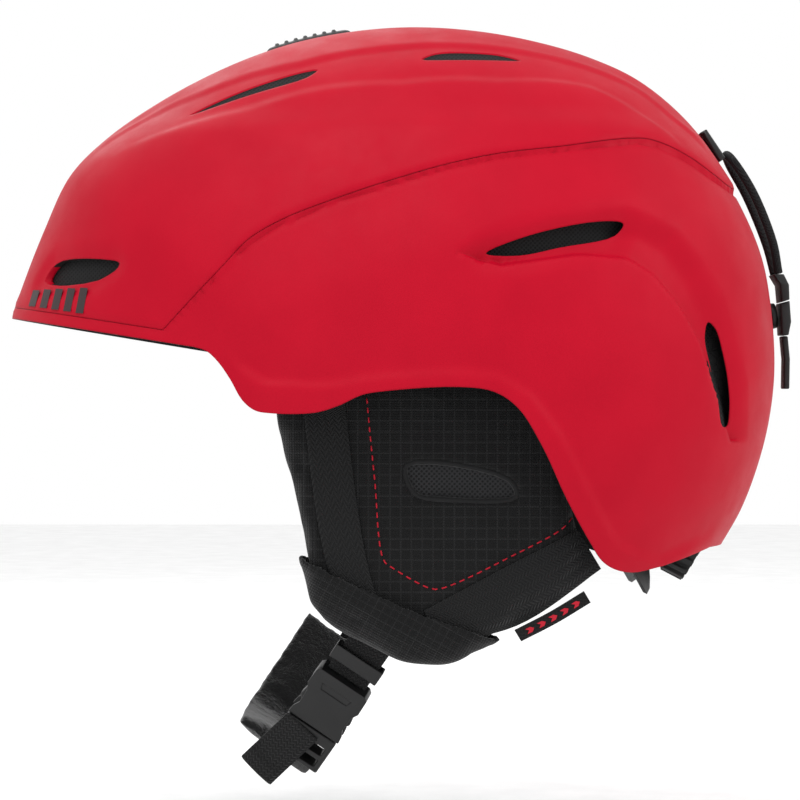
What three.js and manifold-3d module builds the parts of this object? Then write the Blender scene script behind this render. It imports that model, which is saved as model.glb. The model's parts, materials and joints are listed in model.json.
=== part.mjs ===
// A full ski helmet: two-piece shell, foam liner, padded ear pieces, chin strap with a release buckle,
// sliding roof vent, rear fit dial with its two belts, and an elastic goggle retainer.
// Millimetres. The front is -Y, the wearer's left is +X, up is +Z; the origin is the centre of the
// head space.
import * as THREE from 'three';
import { mergeVertices } from 'three/addons/utils/BufferGeometryUtils.js';
import Module from 'manifold-3d';

const wasm = await Module();
wasm.setup();

// Driving dimensions
const HALF_WIDTH = 107;
const SHELL_WALL = 2.2;
const FOAM_GAP = 0.4;
const RECESS_DEPTH = 4;
const POLE = [9.5, -15.2];
const HEAD_CENTRE = [0, 12, 5];
const HEAD_RADII = [80, 104, 107];
const SEAM_GAP = 0.4;
const STRAP_WIDTH = 16;
const STRAP_THICK = 1.5;
const EAR_PAD = [73, 86.5];
const EAR_TILT = THREE.MathUtils.degToRad(4.5);
const EAR_PIVOT_HEIGHT = 14;
const CHIN_PIVOT = [0, -5.2, -80];
const CHIN_LEAN = THREE.MathUtils.degToRad(33.85);
const CHIN_HALF_SPAN = 61;
const CHIN_DROP = 67;
const LEG_SPLAY = THREE.MathUtils.degToRad(22.8);
const SLIDER_CENTRE = [6.3, -37.2];
const SLIDER_RADIUS = 178;
const FIT_CENTRE = [0, 41.6, -18];
const FIT_TILT = THREE.MathUtils.degToRad(27.6);
const BELT_RADIUS = 65.4;
const DIAL_RADIUS = 14.5;
const PINION_RADIUS = 5;
const RETAINER_PIVOT = [0, 118.4, 95.5];
const CORD_RADIUS = 1.6;

const part = new THREE.Group();

const RED = { color: 0xc9182f, roughness: 0.38, metalness: 0 };
const FOAM = { color: 0x1b1b1c, roughness: 0.9, metalness: 0 };
const FABRIC = { color: 0x161617, roughness: 0.95, metalness: 0 };
const WEBBING = { color: 0x1c1c1d, roughness: 0.85, metalness: 0 };
const PLASTIC = { color: 0x19191a, roughness: 0.45, metalness: 0 };
const FLEECE = { color: 0x121213, roughness: 1, metalness: 0 };
const CORD = { color: 0x202022, roughness: 0.8, metalness: 0 };
const STEEL = { color: 0x9a9a9c, roughness: 0.3, metalness: 1 };
const LABEL = { color: 0x2a2a2b, roughness: 0.8, metalness: 0 };

// Solids and geometries
function solidFrom(geometry) {
  const bare = geometry.index ? geometry.toNonIndexed() : geometry.clone();
  bare.deleteAttribute('normal');
  bare.deleteAttribute('uv');
  const merged = mergeVertices(bare, 1e-4);
  return new wasm.Manifold(
    new wasm.Mesh({
      numProp: 3,
      vertProperties: merged.attributes.position.array,
      triVerts: new Uint32Array(merged.index.array),
    }),
  );
}

function geometryFrom(solid) {
  const mesh = solid.getMesh();
  const geometry = new THREE.BufferGeometry();
  geometry.setAttribute('position', new THREE.BufferAttribute(new Float32Array(mesh.vertProperties), 3));
  geometry.setIndex(new THREE.BufferAttribute(new Uint32Array(mesh.triVerts), 1));
  geometry.computeVertexNormals();
  return geometry;
}

function join(geometries) {
  const solids = geometries.map(solidFrom);
  return geometryFrom(solids.reduce((whole, next) => whole.add(next)));
}

function cut(geometry, tools) {
  const start = solidFrom(geometry);
  return geometryFrom(tools.map(solidFrom).reduce((whole, tool) => whole.subtract(tool), start));
}

function mirrored(geometry) {
  const flipped = (geometry.index ? geometry.toNonIndexed() : geometry.clone()).scale(-1, 1, 1);
  const at = flipped.attributes.position.array;
  for (let i = 0; i < at.length; i += 9) {
    for (let k = 0; k < 3; k += 1) {
      const kept = at[i + 3 + k];
      at[i + 3 + k] = at[i + 6 + k];
      at[i + 6 + k] = kept;
    }
  }
  flipped.computeVertexNormals();
  return flipped;
}

function add(parent, name, geometry, look) {
  const mesh = new THREE.Mesh(geometry, new THREE.MeshStandardMaterial(look));
  mesh.name = name;
  parent.add(mesh);
  return mesh;
}

function box(low, high) {
  const size = high.map((value, i) => value - low[i]);
  const geometry = new THREE.BoxGeometry(...size);
  return geometry.translate(...low.map((value, i) => value + size[i] / 2));
}

function outline(points) {
  return new THREE.Shape(points.map(([a, b]) => new THREE.Vector2(a, b)));
}

function extruded(shape, depth, bevel = 0, steps = 2) {
  const geometry = new THREE.ExtrudeGeometry(shape, {
    depth: depth - 2 * bevel,
    bevelEnabled: bevel > 0,
    bevelThickness: bevel,
    bevelSize: bevel,
    bevelOffset: -bevel,
    bevelSegments: steps,
    curveSegments: 6,
  });
  return geometry.translate(0, 0, bevel);
}

// A (y, z) shape carried along X, an (x, z) shape along Y, and an (x, y) shape along Z.
const ALONG_X = new THREE.Matrix4().makeBasis(
  new THREE.Vector3(0, 1, 0),
  new THREE.Vector3(0, 0, 1),
  new THREE.Vector3(1, 0, 0),
);
function alongX(shape, low, high, bevel = 0) {
  return extruded(shape, high - low, bevel).applyMatrix4(ALONG_X).translate(low, 0, 0);
}

function alongY(shape, low, high, bevel = 0) {
  return extruded(shape, high - low, bevel).rotateX(Math.PI / 2).translate(0, high, 0);
}

function alongZ(shape, low, high, bevel = 0) {
  return extruded(shape, high - low, bevel).translate(0, 0, low);
}

// An outline whose edges are all moved outwards by a distance, for anticlockwise points.
function edgeNormal(from, to) {
  return new THREE.Vector2(to[1] - from[1], from[0] - to[0]).normalize();
}

function grown(points, distance) {
  return points.map((point, i) => {
    const before = points[(i + points.length - 1) % points.length];
    const after = points[(i + 1) % points.length];
    const first = edgeNormal(before, point);
    const second = edgeNormal(point, after);
    const stretch = distance / Math.max(0.4, 1 + first.dot(second));
    return [point[0] + (first.x + second.x) * stretch, point[1] + (first.y + second.y) * stretch];
  });
}

// A closed shell of quads between a front and a back surface, both functions of (u, v) from 0 to 1.
function plate(columns, rows, front, back) {
  const corners = [];
  const faces = [];
  const row = columns + 1;
  const side = row * (rows + 1);
  for (const surface of [front, back]) {
    for (let j = 0; j <= rows; j += 1) {
      for (let i = 0; i <= columns; i += 1) {
        corners.push(...surface(i / columns, j / rows));
      }
    }
  }
  const quad = (a, b, c, d) => faces.push(a, b, c, a, c, d);
  for (let j = 0; j < rows; j += 1) {
    for (let i = 0; i < columns; i += 1) {
      const a = j * row + i;
      quad(a, a + 1, a + 1 + row, a + row);
      quad(side + a, side + a + row, side + a + 1 + row, side + a + 1);
    }
  }
  for (let i = 0; i < columns; i += 1) {
    quad(i, side + i, side + i + 1, i + 1);
    const top = rows * row + i;
    quad(top, top + 1, side + top + 1, side + top);
  }
  for (let j = 0; j < rows; j += 1) {
    const left = j * row;
    quad(left, left + row, side + left + row, side + left);
    const right = j * row + columns;
    quad(right, side + right, side + right + row, right + row);
  }
  const geometry = new THREE.BufferGeometry();
  geometry.setAttribute('position', new THREE.BufferAttribute(new Float32Array(corners), 3));
  geometry.setIndex(faces);
  geometry.computeVertexNormals();
  return geometry;
}

// The helmet's outside form: the side profile is a closed curve around the pole, and every section through the
// pole line is a superellipse whose power grows from the bottom to the top.
const PROFILE = [
  [-146.7, 31.5], [-143.4, 41.5], [-134.6, 64], [-124.5, 85], [-110.5, 99], [-92.5, 111.5],
  [-74, 121.7], [-56, 129.6], [-38, 135.3], [-17, 139.2], [5, 140.7], [29, 139.2],
  [52, 135], [72, 129], [90, 120.5], [107.5, 106], [120.5, 89], [129.5, 74],
  [135.5, 58], [139.7, 36], [141.2, 12], [139.3, -7], [135, -24.5], [128.8, -41],
  [121.5, -54], [112.5, -69], [97, -87], [60, -107], [10, -116], [-45, -106],
  [-92, -77], [-125, -40], [-143, 0],
];
const profileCurve = new THREE.CatmullRomCurve3(
  PROFILE.map(([y, z]) => new THREE.Vector3(0, y, z)),
  true,
  'centripetal',
);
const profileRays = profileCurve
  .getPoints(500)
  .map((point) => ({
    angle: Math.atan2(point.z - POLE[1], point.y - POLE[0]),
    reach: Math.hypot(point.z - POLE[1], point.y - POLE[0]),
  }))
  .sort((one, other) => one.angle - other.angle);

function profileReach(angle) {
  const turned = Math.atan2(Math.sin(angle), Math.cos(angle));
  const next = profileRays.findIndex((ray) => ray.angle > turned);
  const high = profileRays[next < 0 ? 0 : next];
  const low = profileRays[(next < 0 ? profileRays.length : next + profileRays.length) - 1] ??
    profileRays[next - 1];
  const span = THREE.MathUtils.euclideanModulo(high.angle - low.angle, 2 * Math.PI);
  const along = THREE.MathUtils.euclideanModulo(turned - low.angle, 2 * Math.PI);
  return THREE.MathUtils.lerp(low.reach, high.reach, span > 0 ? along / span : 0);
}

function envelope(inset) {
  const columns = 44;
  const rows = 16;
  const corners = [];
  const faces = [];
  for (let j = 1; j < rows; j += 1) {
    const rise = -Math.PI / 2 + (Math.PI * j) / rows;
    for (let i = 0; i < columns; i += 1) {
      const angle = (2 * Math.PI * i) / columns;
      const power = 1.9 + 0.12 * Math.cos(angle) + 0.2 * (1 + Math.sin(angle));
      const reach = (profileReach(angle) - inset) * Math.cos(rise) ** (2 / power);
      const side = Math.sign(rise) * (HALF_WIDTH - inset) * Math.abs(Math.sin(rise)) ** (2 / power);
      corners.push(side, POLE[0] + reach * Math.cos(angle), POLE[1] + reach * Math.sin(angle));
    }
  }
  const rightPole = (rows - 1) * columns;
  const leftPole = rightPole + 1;
  corners.push(-(HALF_WIDTH - inset), ...POLE, HALF_WIDTH - inset, ...POLE);
  for (let i = 0; i < columns; i += 1) {
    const next = (i + 1) % columns;
    for (let j = 0; j < rows - 2; j += 1) {
      const a = j * columns;
      const b = a + columns;
      faces.push(a + i, a + next, b + next, a + i, b + next, b + i);
    }
    const last = (rows - 2) * columns;
    faces.push(rightPole, next, i, leftPole, last + i, last + next);
  }
  const geometry = new THREE.BufferGeometry();
  geometry.setAttribute('position', new THREE.BufferAttribute(new Float32Array(corners), 3));
  geometry.setIndex(faces);
  return geometry;
}

// Outlines seen from the wearer's left, as (y, z).
const RIM = [
  [-175, 35.3], [-72.3, 18.6], [-68, 17.2], [-63.7, 13.3], [-59.4, 7.3], [-55.1, 0],
  [-50.9, -3.5], [-46.7, -4.5], [-30, -4.5], [-21.5, -2.1], [-13.2, 1.7], [-4.8, 3.1],
  [20, 4.5], [32.6, 2.8], [40.9, -2.8], [49.3, -16], [57.9, -34.2], [66.9, -50.3],
  [71.4, -56.9], [76, -60], [83, -61.5], [94.3, -59.7], [113.7, -54], [175, -54],
  [175, 175], [-175, 175],
];
const FOAM_RIM = [
  [-175, 37.6], [-70, 20.5], [-62, 16], [62, 16], [76, 0], [82, -46], [175, -46],
  [175, 175], [-175, 175],
];
const SEAM = [
  [-175, 39.5], [-83.7, 24.7], [-73.9, 35.2], [-61.5, 48.1], [-53.8, 56.2], [-42.2, 63.2],
  [-19.3, 72], [0, 78.3], [17.6, 83.4], [35.3, 87.2], [56.7, 90], [86.3, 94.2],
  [93.9, 93.1], [105.4, 88.4], [115.5, 82.5], [123.5, 78.6], [175, 78.6],
];
const SIDE_RECESS = [
  [19.5, 50.8], [34.8, 47.4], [63, 51.4], [81, 49.6], [90, 44], [99, 33.6],
  [106.6, 21.3], [114.4, 0], [119, -15], [126.3, -14.6], [125.5, 7.2], [116.6, 35.9],
  [109, 50], [99.8, 61.3], [88.7, 66.7], [79.6, 68.6], [56, 65.2], [19.5, 53.4],
];
const SIDE_VENT = [[30, 51.2], [41.8, 50.6], [55.9, 53.5], [76, 58.1], [79, 62.4], [70.4, 63], [45.4, 57.7]];
const REAR_VENT = [[62.8, -8], [66, -8], [70, 10.7], [75, 23.5], [74.7, 28.5], [71, 19], [66, 0]];
const BRIM_VENT = [[38, 43.6], [64, 43], [69.5, 48.6], [66, 50.2], [42, 49.8]];
const FRONT_SLIT = [[44.6, -77], [50.4, -58], [53.2, -34], [50.2, -30], [47.6, -49]];
const REAR_SLIT = [[52, 8], [50, 29], [45, 44], [43.4, 37], [44.4, 28], [47.6, 13]];

function ventTools(spread) {
  const tools = [alongX(outline(grown(SIDE_VENT, spread)), -130, 130)];
  const frontSlit = alongZ(outline(grown(FRONT_SLIT, spread)), 60, 160);
  const rearSlit = alongZ(outline(grown(REAR_SLIT, spread)), 60, 160);
  const brimVent = alongY(outline(grown(BRIM_VENT, spread)), -160, -70);
  const rearVent = alongY(outline(grown(REAR_VENT, spread)), 60, 160);
  for (const tool of [frontSlit, rearSlit, brimVent, rearVent]) {
    tools.push(tool, mirrored(tool));
  }
  return tools;
}

// The envelope at a depth below the skin, with the side recess sunk into it.
function sunkForm(depth) {
  const recess = alongX(outline(grown(SIDE_RECESS, 1.3 * depth)), -130, 130);
  const high = solidFrom(envelope(depth)).subtract(solidFrom(recess));
  return high.add(solidFrom(envelope(depth + RECESS_DEPTH)));
}

function headSpace(extra) {
  const geometry = new THREE.SphereGeometry(1, 32, 20).rotateX(Math.PI / 2);
  geometry.scale(...HEAD_RADII.map((radius) => radius + extra));
  return geometry.translate(...HEAD_CENTRE);
}

// A patch of the head space's lining, from the front (0 degrees) round to the wearer's left (90 degrees).
function lining(turnLow, turnHigh, riseLow, riseHigh, thickness, columns = 10, rows = 4) {
  const surface = (depth) => (u, v) => {
    const turn = THREE.MathUtils.degToRad(THREE.MathUtils.lerp(turnLow, turnHigh, u));
    const rise = THREE.MathUtils.degToRad(THREE.MathUtils.lerp(riseLow, riseHigh, v));
    const radii = HEAD_RADII.map((radius) => radius - depth);
    return [
      HEAD_CENTRE[0] + radii[0] * Math.cos(rise) * Math.sin(turn),
      HEAD_CENTRE[1] - radii[1] * Math.cos(rise) * Math.cos(turn),
      HEAD_CENTRE[2] + radii[2] * Math.sin(rise),
    ];
  };
  return plate(columns, rows, surface(1.4), surface(1.4 + thickness));
}

// Roof vent slider: everything that moves turns about one line across the head, so the parts are bodies of
// revolution about it. The roof drops away towards the sides.
function roofDrop(x) {
  return 156 * (1 - (1 - Math.abs(x / HALF_WIDTH) ** 2.3) ** (1 / 2.3));
}

function roofPlate(halfWidth, turnLow, turnHigh, low, high, columns = 12, rows = 6) {
  const surface = (height) => (u, v) => {
    const x = THREE.MathUtils.lerp(-halfWidth, halfWidth, u);
    const turn = THREE.MathUtils.degToRad(THREE.MathUtils.lerp(turnLow, turnHigh, v));
    const reach = SLIDER_RADIUS - roofDrop(x) + height;
    return [x, SLIDER_CENTRE[0] + reach * Math.sin(turn), SLIDER_CENTRE[1] + reach * Math.cos(turn)];
  };
  return plate(columns, rows, surface(high), surface(low));
}

// Shells and foam
const sunkShell = sunkForm(0).subtract(sunkForm(SHELL_WALL));
const rimPrism = solidFrom(alongX(outline(RIM), -140, 140));
const seamAbove = (shift) => {
  const points = SEAM.map(([y, z]) => [y, z + shift]);
  return solidFrom(alongX(outline([...points, [175, 175], [-175, 175]]), -140, 140));
};
const sliderSlot = roofPlate(11.5, -19.6, -3, -6, 6, 4, 4);
let shell = sunkShell.intersect(rimPrism);
for (const tool of ventTools(0)) {
  shell = shell.subtract(solidFrom(tool));
}
shell = shell.subtract(solidFrom(sliderSlot));
add(part, 'crown_shell', geometryFrom(shell.intersect(seamAbove(SEAM_GAP / 2))), RED);
add(part, 'lower_shell', geometryFrom(shell.subtract(seamAbove(-SEAM_GAP / 2))), RED);

const SHUTTER_TURN = [-30, -4];
const VENT_PORTS = [[-72, -61], [-49, -38]];
const ventPort = ([low, high], extra) =>
  box([44 - extra, low - extra, 60], [54 + extra, high + extra, 160]);
let foam = sunkForm(SHELL_WALL + FOAM_GAP).subtract(solidFrom(headSpace(0)));
foam = foam.intersect(solidFrom(alongX(outline(FOAM_RIM), -140, 140)));
foam = foam.subtract(solidFrom(roofPlate(57.5, -31.5, 1, -9.8, 9)));
foam = foam.subtract(solidFrom(box([-26, 80, -70], [26, 135, -28])));
const foamTools = [alongX(outline(grown(SIDE_VENT, 1)), -130, 130)];
for (const port of VENT_PORTS) {
  foamTools.push(ventPort(port, 0));
}
foamTools.push(alongZ(outline(grown(REAR_SLIT, 1)), 60, 160));
foamTools.push(alongY(outline(grown(BRIM_VENT, 1)), -160, -70));
foamTools.push(alongY(outline(grown(REAR_VENT, 1)), 60, 160));
for (const tool of [...foamTools, ...foamTools.slice(1).map(mirrored)]) {
  foam = foam.subtract(solidFrom(tool));
}
add(part, 'foam_liner', geometryFrom(foam), FOAM);

// Lining pads stuck inside the foam
add(part, 'brow_pad', lining(-62, 62, 12, 24, 5, 14, 3), FABRIC);
const crownPad = cut(headSpace(-0.5), [headSpace(-5.5), box([-90, -120, -120], [90, 140, 88])]);
add(part, 'crown_pad', crownPad, FABRIC);
const templePad = lining(68, 108, 16, 44, 5, 6, 4);
add(part, 'temple_pad_left', templePad, FABRIC);
add(part, 'temple_pad_right', mirrored(templePad), FABRIC);
add(part, 'nape_pad', lining(140, 220, 2, 24, 5, 10, 3), FABRIC);

// Roof vent slider
const slider = new THREE.Group();
const sliderKnob = join([
  roofPlate(10.5, -18.7, -7.9, -0.6, 1.2, 4, 6),
  roofPlate(7, -16.5, -10, -6.6, 0.2, 2, 3),
  ...[-17.2, -15.6, -14, -12.4, -10.8, -9.2].map((turn) => roofPlate(8, turn, turn + 0.6, 0.6, 2, 2, 1)),
]);
add(slider, 'vent_slider_knob', sliderKnob, PLASTIC);
const shutterPorts = VENT_PORTS.map((port) => ventPort(port, 0.5));
const shutter = cut(roofPlate(55.5, ...SHUTTER_TURN, -8.4, -7, 12, 6), [
  ...shutterPorts,
  ...shutterPorts.map(mirrored),
]);
add(slider, 'vent_shutter', shutter, PLASTIC);
part.add(slider);

// Ear pieces: built upright on the wearer's left, then leaned in at the foot about a line along Y.
const EAR_OUTLINE = [
  [-45.7, -5.3], [-43, 10], [-36, 13.5], [44, 13.5], [53, 8], [61, -20], [67, -48],
  [72.5, -62], [41.2, -83.4], [29.3, -90.3], [15.5, -95.5], [5.6, -95.2], [-2.3, -92.7],
  [-21, -82.9], [-29.9, -75.8], [-32.4, -72], [-37.3, -54], [-37.8, -49.8],
];
const EAR_VENT = [[2.2, -23.1], [5.2, -33.4], [15.5, -35.4], [41.2, -34.4], [38.2, -28]];
const CUFF = [
  [-36.6, -54], [-32, -72], [-29.5, -75.4], [-21, -82.5], [-2.3, -92.3], [5.6, -94.8],
  [15.5, -95.1], [29.3, -89.9], [41.2, -82.9], [34.3, -83.2], [28.3, -82.7], [7.6, -75.8],
  [-9.1, -68.4], [-24.9, -61],
];
const FRONT_STRAP = [
  [-36, 11], [-33.8, -5.8], [-24.9, -62], [-12, -86], [3, -90], [-9.1, -67.5], [-19, -5.8], [-21, 11],
];
const REAR_STRAP = [[8.6, -74.8], [13, -89], [41.2, -82.3], [70, -61.5], [62.9, -46.2]];
const padFace = EAR_PAD[1];
const earPad = alongX(outline(EAR_OUTLINE), ...EAR_PAD, 3.5);
const earPieces = {
  ear_pad: [cut(earPad, [alongX(outline(EAR_VENT), 84, 90)]), FABRIC],
  ear_vent_mesh: [alongX(outline(grown(EAR_VENT, -0.8)), 84.3, padFace + 0.5), FABRIC],
  ear_cuff: [alongX(outline(CUFF), padFace + 2.1, padFace + 3.9, 0.5), FABRIC],
  front_strap: [alongX(outline(FRONT_STRAP), padFace + 0.3, padFace + 1.8), WEBBING],
  rear_strap: [alongX(outline(REAR_STRAP), padFace + 0.3, padFace + 1.8), WEBBING],
  strap_junction: [alongX(new THREE.Shape().absarc(-5.2, -80, 9, 0, 2 * Math.PI), 71.2, 72.7, 0.4), PLASTIC],
};
const earGroup = (sideName, sign) => {
  const group = new THREE.Group();
  group.position.set(sign * EAR_PAD[1], 0, EAR_PIVOT_HEIGHT);
  group.rotation.y = sign * EAR_TILT;
  for (const [name, [geometry, look]] of Object.entries(earPieces)) {
    const copy = sign > 0 ? geometry.clone() : mirrored(geometry);
    add(group, `${name}_${sideName}`, copy.translate(-sign * EAR_PAD[1], 0, -EAR_PIVOT_HEIGHT), look);
  }
  part.add(group);
  return group;
};
const leftEar = earGroup('left', 1);
earGroup('right', -1);
const TAG = [[39.6, -82.2], [52.1, -76.2], [64.1, -68.8], [66.4, -72.2], [53.6, -80], [41.6, -85.6]];
const tag = alongX(outline(TAG), padFace + 4.2, padFace + 5.2).translate(-EAR_PAD[1], 0, -EAR_PIVOT_HEIGHT);
add(leftEar, 'cuff_tag_left', tag, LABEL);

// Chin strap, in a frame that hangs from the strap's pivot line: X across, Y the strap's width,
// -Z down the leg.
const chin = new THREE.Group();
chin.position.set(...CHIN_PIVOT);
chin.rotation.x = -CHIN_LEAN;
part.add(chin);

// A strip of even thickness along a smooth (x, z) line, carried along Y.
function strip(points, thickness, low, high, pieces = 12) {
  const curve = new THREE.SplineCurve(points.map(([x, z]) => new THREE.Vector2(x, z)));
  const sides = [[], []];
  for (let i = 0; i <= pieces; i += 1) {
    const at = curve.getPointAt(i / pieces);
    const along = curve.getTangentAt(i / pieces);
    const normal = new THREE.Vector2(-along.y, along.x).multiplyScalar(thickness / 2);
    sides[0].push([at.x + normal.x, at.y + normal.y]);
    sides[1].unshift([at.x - normal.x, at.y - normal.y]);
  }
  return alongY(outline([...sides[0], ...sides[1]]), low, high);
}

// A point at a length down the left leg, a height out from it.
function onLeg(length, out = 0) {
  const x = CHIN_HALF_SPAN - length * Math.sin(LEG_SPLAY) + out * Math.cos(LEG_SPLAY);
  const z = -length * Math.cos(LEG_SPLAY) - out * Math.sin(LEG_SPLAY);
  return [x, z];
}
const strapHalf = STRAP_WIDTH / 2;
const legTop = strip([onLeg(-2), onLeg(6), onLeg(14), onLeg(27.6)], STRAP_THICK, -strapHalf, strapHalf, 3);
add(chin, 'chin_strap_left', legTop, WEBBING);
const across = [
  onLeg(66.6), [27, -64.2], [14, -CHIN_DROP + 0.4], [0, -CHIN_DROP], [-14, -CHIN_DROP + 0.4],
  [-27, -64.2], [-36, -58], [-46, -36], [-55, -14], [-CHIN_HALF_SPAN - 1.5, 4],
];
add(chin, 'chin_strap_right', strip(across, STRAP_THICK, -strapHalf, strapHalf, 18), WEBBING);
const padLine = [[20, -62.2], [0, -63.2], [-20, -62], [-31, -56], [-41, -34], [-49, -20]];
add(chin, 'chin_pad', strip(padLine, 4.6, -24, 6, 12), FLEECE);

// Buckle, in a frame on the left leg: X out through its thickness, Y across, -Z down the leg.
const buckle = new THREE.Group();
buckle.position.set(...[onLeg(0)[0], 0, onLeg(0)[1]]);
buckle.rotation.y = LEG_SPLAY;
chin.add(buckle);
const female = join([
  box([-4.5, -11, -34], [4.5, 11, -28]),
  box([3.1, -11, -50], [4.5, 11, -33]),
  box([-4.5, -11, -50], [-3.1, 11, -33]),
  box([-3.3, -1.6, -48], [3.3, 1.6, -33]),
]);
add(buckle, 'buckle_female', female, PLASTIC);
const male = cut(box([-3.6, -10.5, -66], [3.6, 10.5, -51]), [
  box([-8, -8.4, -59], [8, 8.4, -55.6]),
  box([-8, -8.4, -64.4], [8, 8.4, -61]),
]);
add(buckle, 'buckle_male', male, PLASTIC);
const PRONG = [
  [6.3, -50.6], [9.2, -50.6], [9.4, -44], [10.8, -42.6], [9.6, -37], [6, -35.4], [5, -37], [6.4, -43],
];
const prong = alongX(outline(PRONG), -2.2, 2.2);
add(buckle, 'buckle_prong_rear', prong, PLASTIC);
const prongFront = alongX(outline(PRONG.map(([y, z]) => [-y, z]).reverse()), -2.2, 2.2);
add(buckle, 'buckle_prong_front', prongFront, PLASTIC);
const keeper = cut(box([-2.6, -10, -23], [2.6, 10, -17]), [box([-1.1, -8.4, -24], [1.1, 8.4, -16])]);
add(buckle, 'strap_keeper', keeper, PLASTIC);
const tail = box([-0.7, -7.5, -26], [0.7, 7.5, 0]).rotateX(-0.19).translate(4.8, -3.4, -52);
add(buckle, 'strap_tail', tail, WEBBING);

// Fit system, in the ring's frame: X across, Y to the rear along the ring's plane, Z square to it.
const fit = new THREE.Group();
fit.position.set(...FIT_CENTRE);
fit.rotation.x = -FIT_TILT;
part.add(fit);

function arcBlock(reachLow, reachHigh, turnLow, turnHigh, low, high, pieces) {
  const inner = [];
  const outer = [];
  for (let i = 0; i <= pieces; i += 1) {
    const turn = THREE.MathUtils.degToRad(THREE.MathUtils.lerp(turnLow, turnHigh, i / pieces));
    inner.unshift([reachLow * Math.sin(turn), reachLow * Math.cos(turn)]);
    outer.push([reachHigh * Math.sin(turn), reachHigh * Math.cos(turn)]);
  }
  return alongZ(outline([...outer, ...inner]), low, high);
}
const beltLow = BELT_RADIUS - 0.6;
const beltHigh = BELT_RADIUS + 0.6;
const leftBelt = join([
  arcBlock(beltLow, beltHigh, 19, 75, -5, 5, 12),
  arcBlock(beltLow, beltHigh, -13, 20, PINION_RADIUS + 0.5, PINION_RADIUS + 3.5, 8),
  arcBlock(beltLow, beltHigh, 18, 20, 4, PINION_RADIUS + 3.5, 1),
]);
add(fit, 'fit_belt_left', leftBelt, PLASTIC);
const rightBelt = leftBelt.clone().rotateY(Math.PI);
add(fit, 'fit_belt_right', rightBelt, PLASTIC);

// The yoke's band hugs the ring; below it two loops reach down to the neck, each with a window.
const YOKE_REACH = 62.8;
function yokeSurface(depth) {
  return (u, v) => {
    const turn = THREE.MathUtils.lerp(-70, 70, u);
    const nearLoop = Math.max(0, 1 - Math.abs(Math.abs(turn) - 28) / 17);
    const drop = 9.5 + 22 * nearLoop;
    const rise = 6 + 8 * Math.max(0, 1 - Math.abs(turn) / 14);
    const height = THREE.MathUtils.lerp(rise, -drop, v);
    const below = Math.min(0, height + 9.5);
    const radians = THREE.MathUtils.degToRad(turn);
    const reach = YOKE_REACH + depth - below * 0.69;
    return [reach * Math.sin(radians), reach * Math.cos(radians), Math.max(height, -9.5) + below * 0.72];
  };
}
const yokePlate = plate(34, 6, yokeSurface(0.9), yokeSurface(-0.9));
const windowPrism = new THREE.ConeGeometry(8, 60, 3, 1).rotateY(Math.PI / 3);
const yokeWindows = [28, -28].map((turn) => {
  const radians = THREE.MathUtils.degToRad(turn);
  const tool = windowPrism.clone().scale(1, 1, 0.8);
  tool.translate(0, 62, -12.5);
  return tool.rotateZ(-radians);
});
add(fit, 'cradle_yoke', cut(yokePlate, yokeWindows), PLASTIC);
add(fit, 'cradle_pad', arcBlock(58.4, 61.6, -32, 32, -5, 9, 10), FABRIC);
const housing = cut(arcBlock(66.4, 71.6, -20, 20, -10.5, 10.5, 8), [
  new THREE.CylinderGeometry(3.1, 3.1, 30, 16).translate(0, 68, 0),
]);
add(fit, 'dial_housing', housing, PLASTIC);
const pinionParts = [new THREE.CylinderGeometry(PINION_RADIUS - 1, PINION_RADIUS - 1, 1.2, 20)];
for (let i = 0; i < 10; i += 1) {
  pinionParts.push(box([-0.5, -0.6, 0], [0.5, 0.6, PINION_RADIUS - 0.1]).rotateY((i * Math.PI) / 5));
}
pinionParts.push(new THREE.CylinderGeometry(2.6, 2.6, 6.2, 16).translate(0, 2.9, 0));
const pinion = cut(join(pinionParts), [new THREE.CylinderGeometry(1.3, 1.3, 20, 12)]);
add(fit, 'dial_pinion', pinion.translate(0, BELT_RADIUS, 0), PLASTIC);
const knobParts = [new THREE.CylinderGeometry(DIAL_RADIUS - 1.2, DIAL_RADIUS - 1.2, 8.6, 24)];
for (let i = 0; i < 18; i += 1) {
  const ridge = box([-1.1, -4.3, 10], [1.1, 4.3, DIAL_RADIUS]);
  knobParts.push(ridge.rotateY((i * Math.PI) / 9));
}
const knob = cut(join(knobParts), [new THREE.CylinderGeometry(1.7, 1.7, 20, 12)]);
add(fit, 'dial_knob', knob.translate(0, 76.6, 0), PLASTIC);
const screwSection = [[0, 65.6], [1, 65.6], [1, 81.2], [3.4, 81.2], [3.4, 82.4], [0, 82.8]];
const screw = new THREE.LatheGeometry(screwSection.map(([r, y]) => new THREE.Vector2(r, y)), 14);
add(fit, 'dial_screw', screw, STEEL);
const beltGuide = cut(arcBlock(beltHigh + 0.4, beltHigh + 2.4, 56, 66, -7, 7, 3), [
  arcBlock(60, beltHigh + 0.4, 50, 70, -8, 8, 3),
]);
add(fit, 'belt_guide_left', beltGuide, PLASTIC);
add(fit, 'belt_guide_right', mirrored(beltGuide), PLASTIC);
add(part, 'cradle_hanger', lining(172, 188, -20.5, 1.4, 1.6, 3, 4), PLASTIC);

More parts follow.
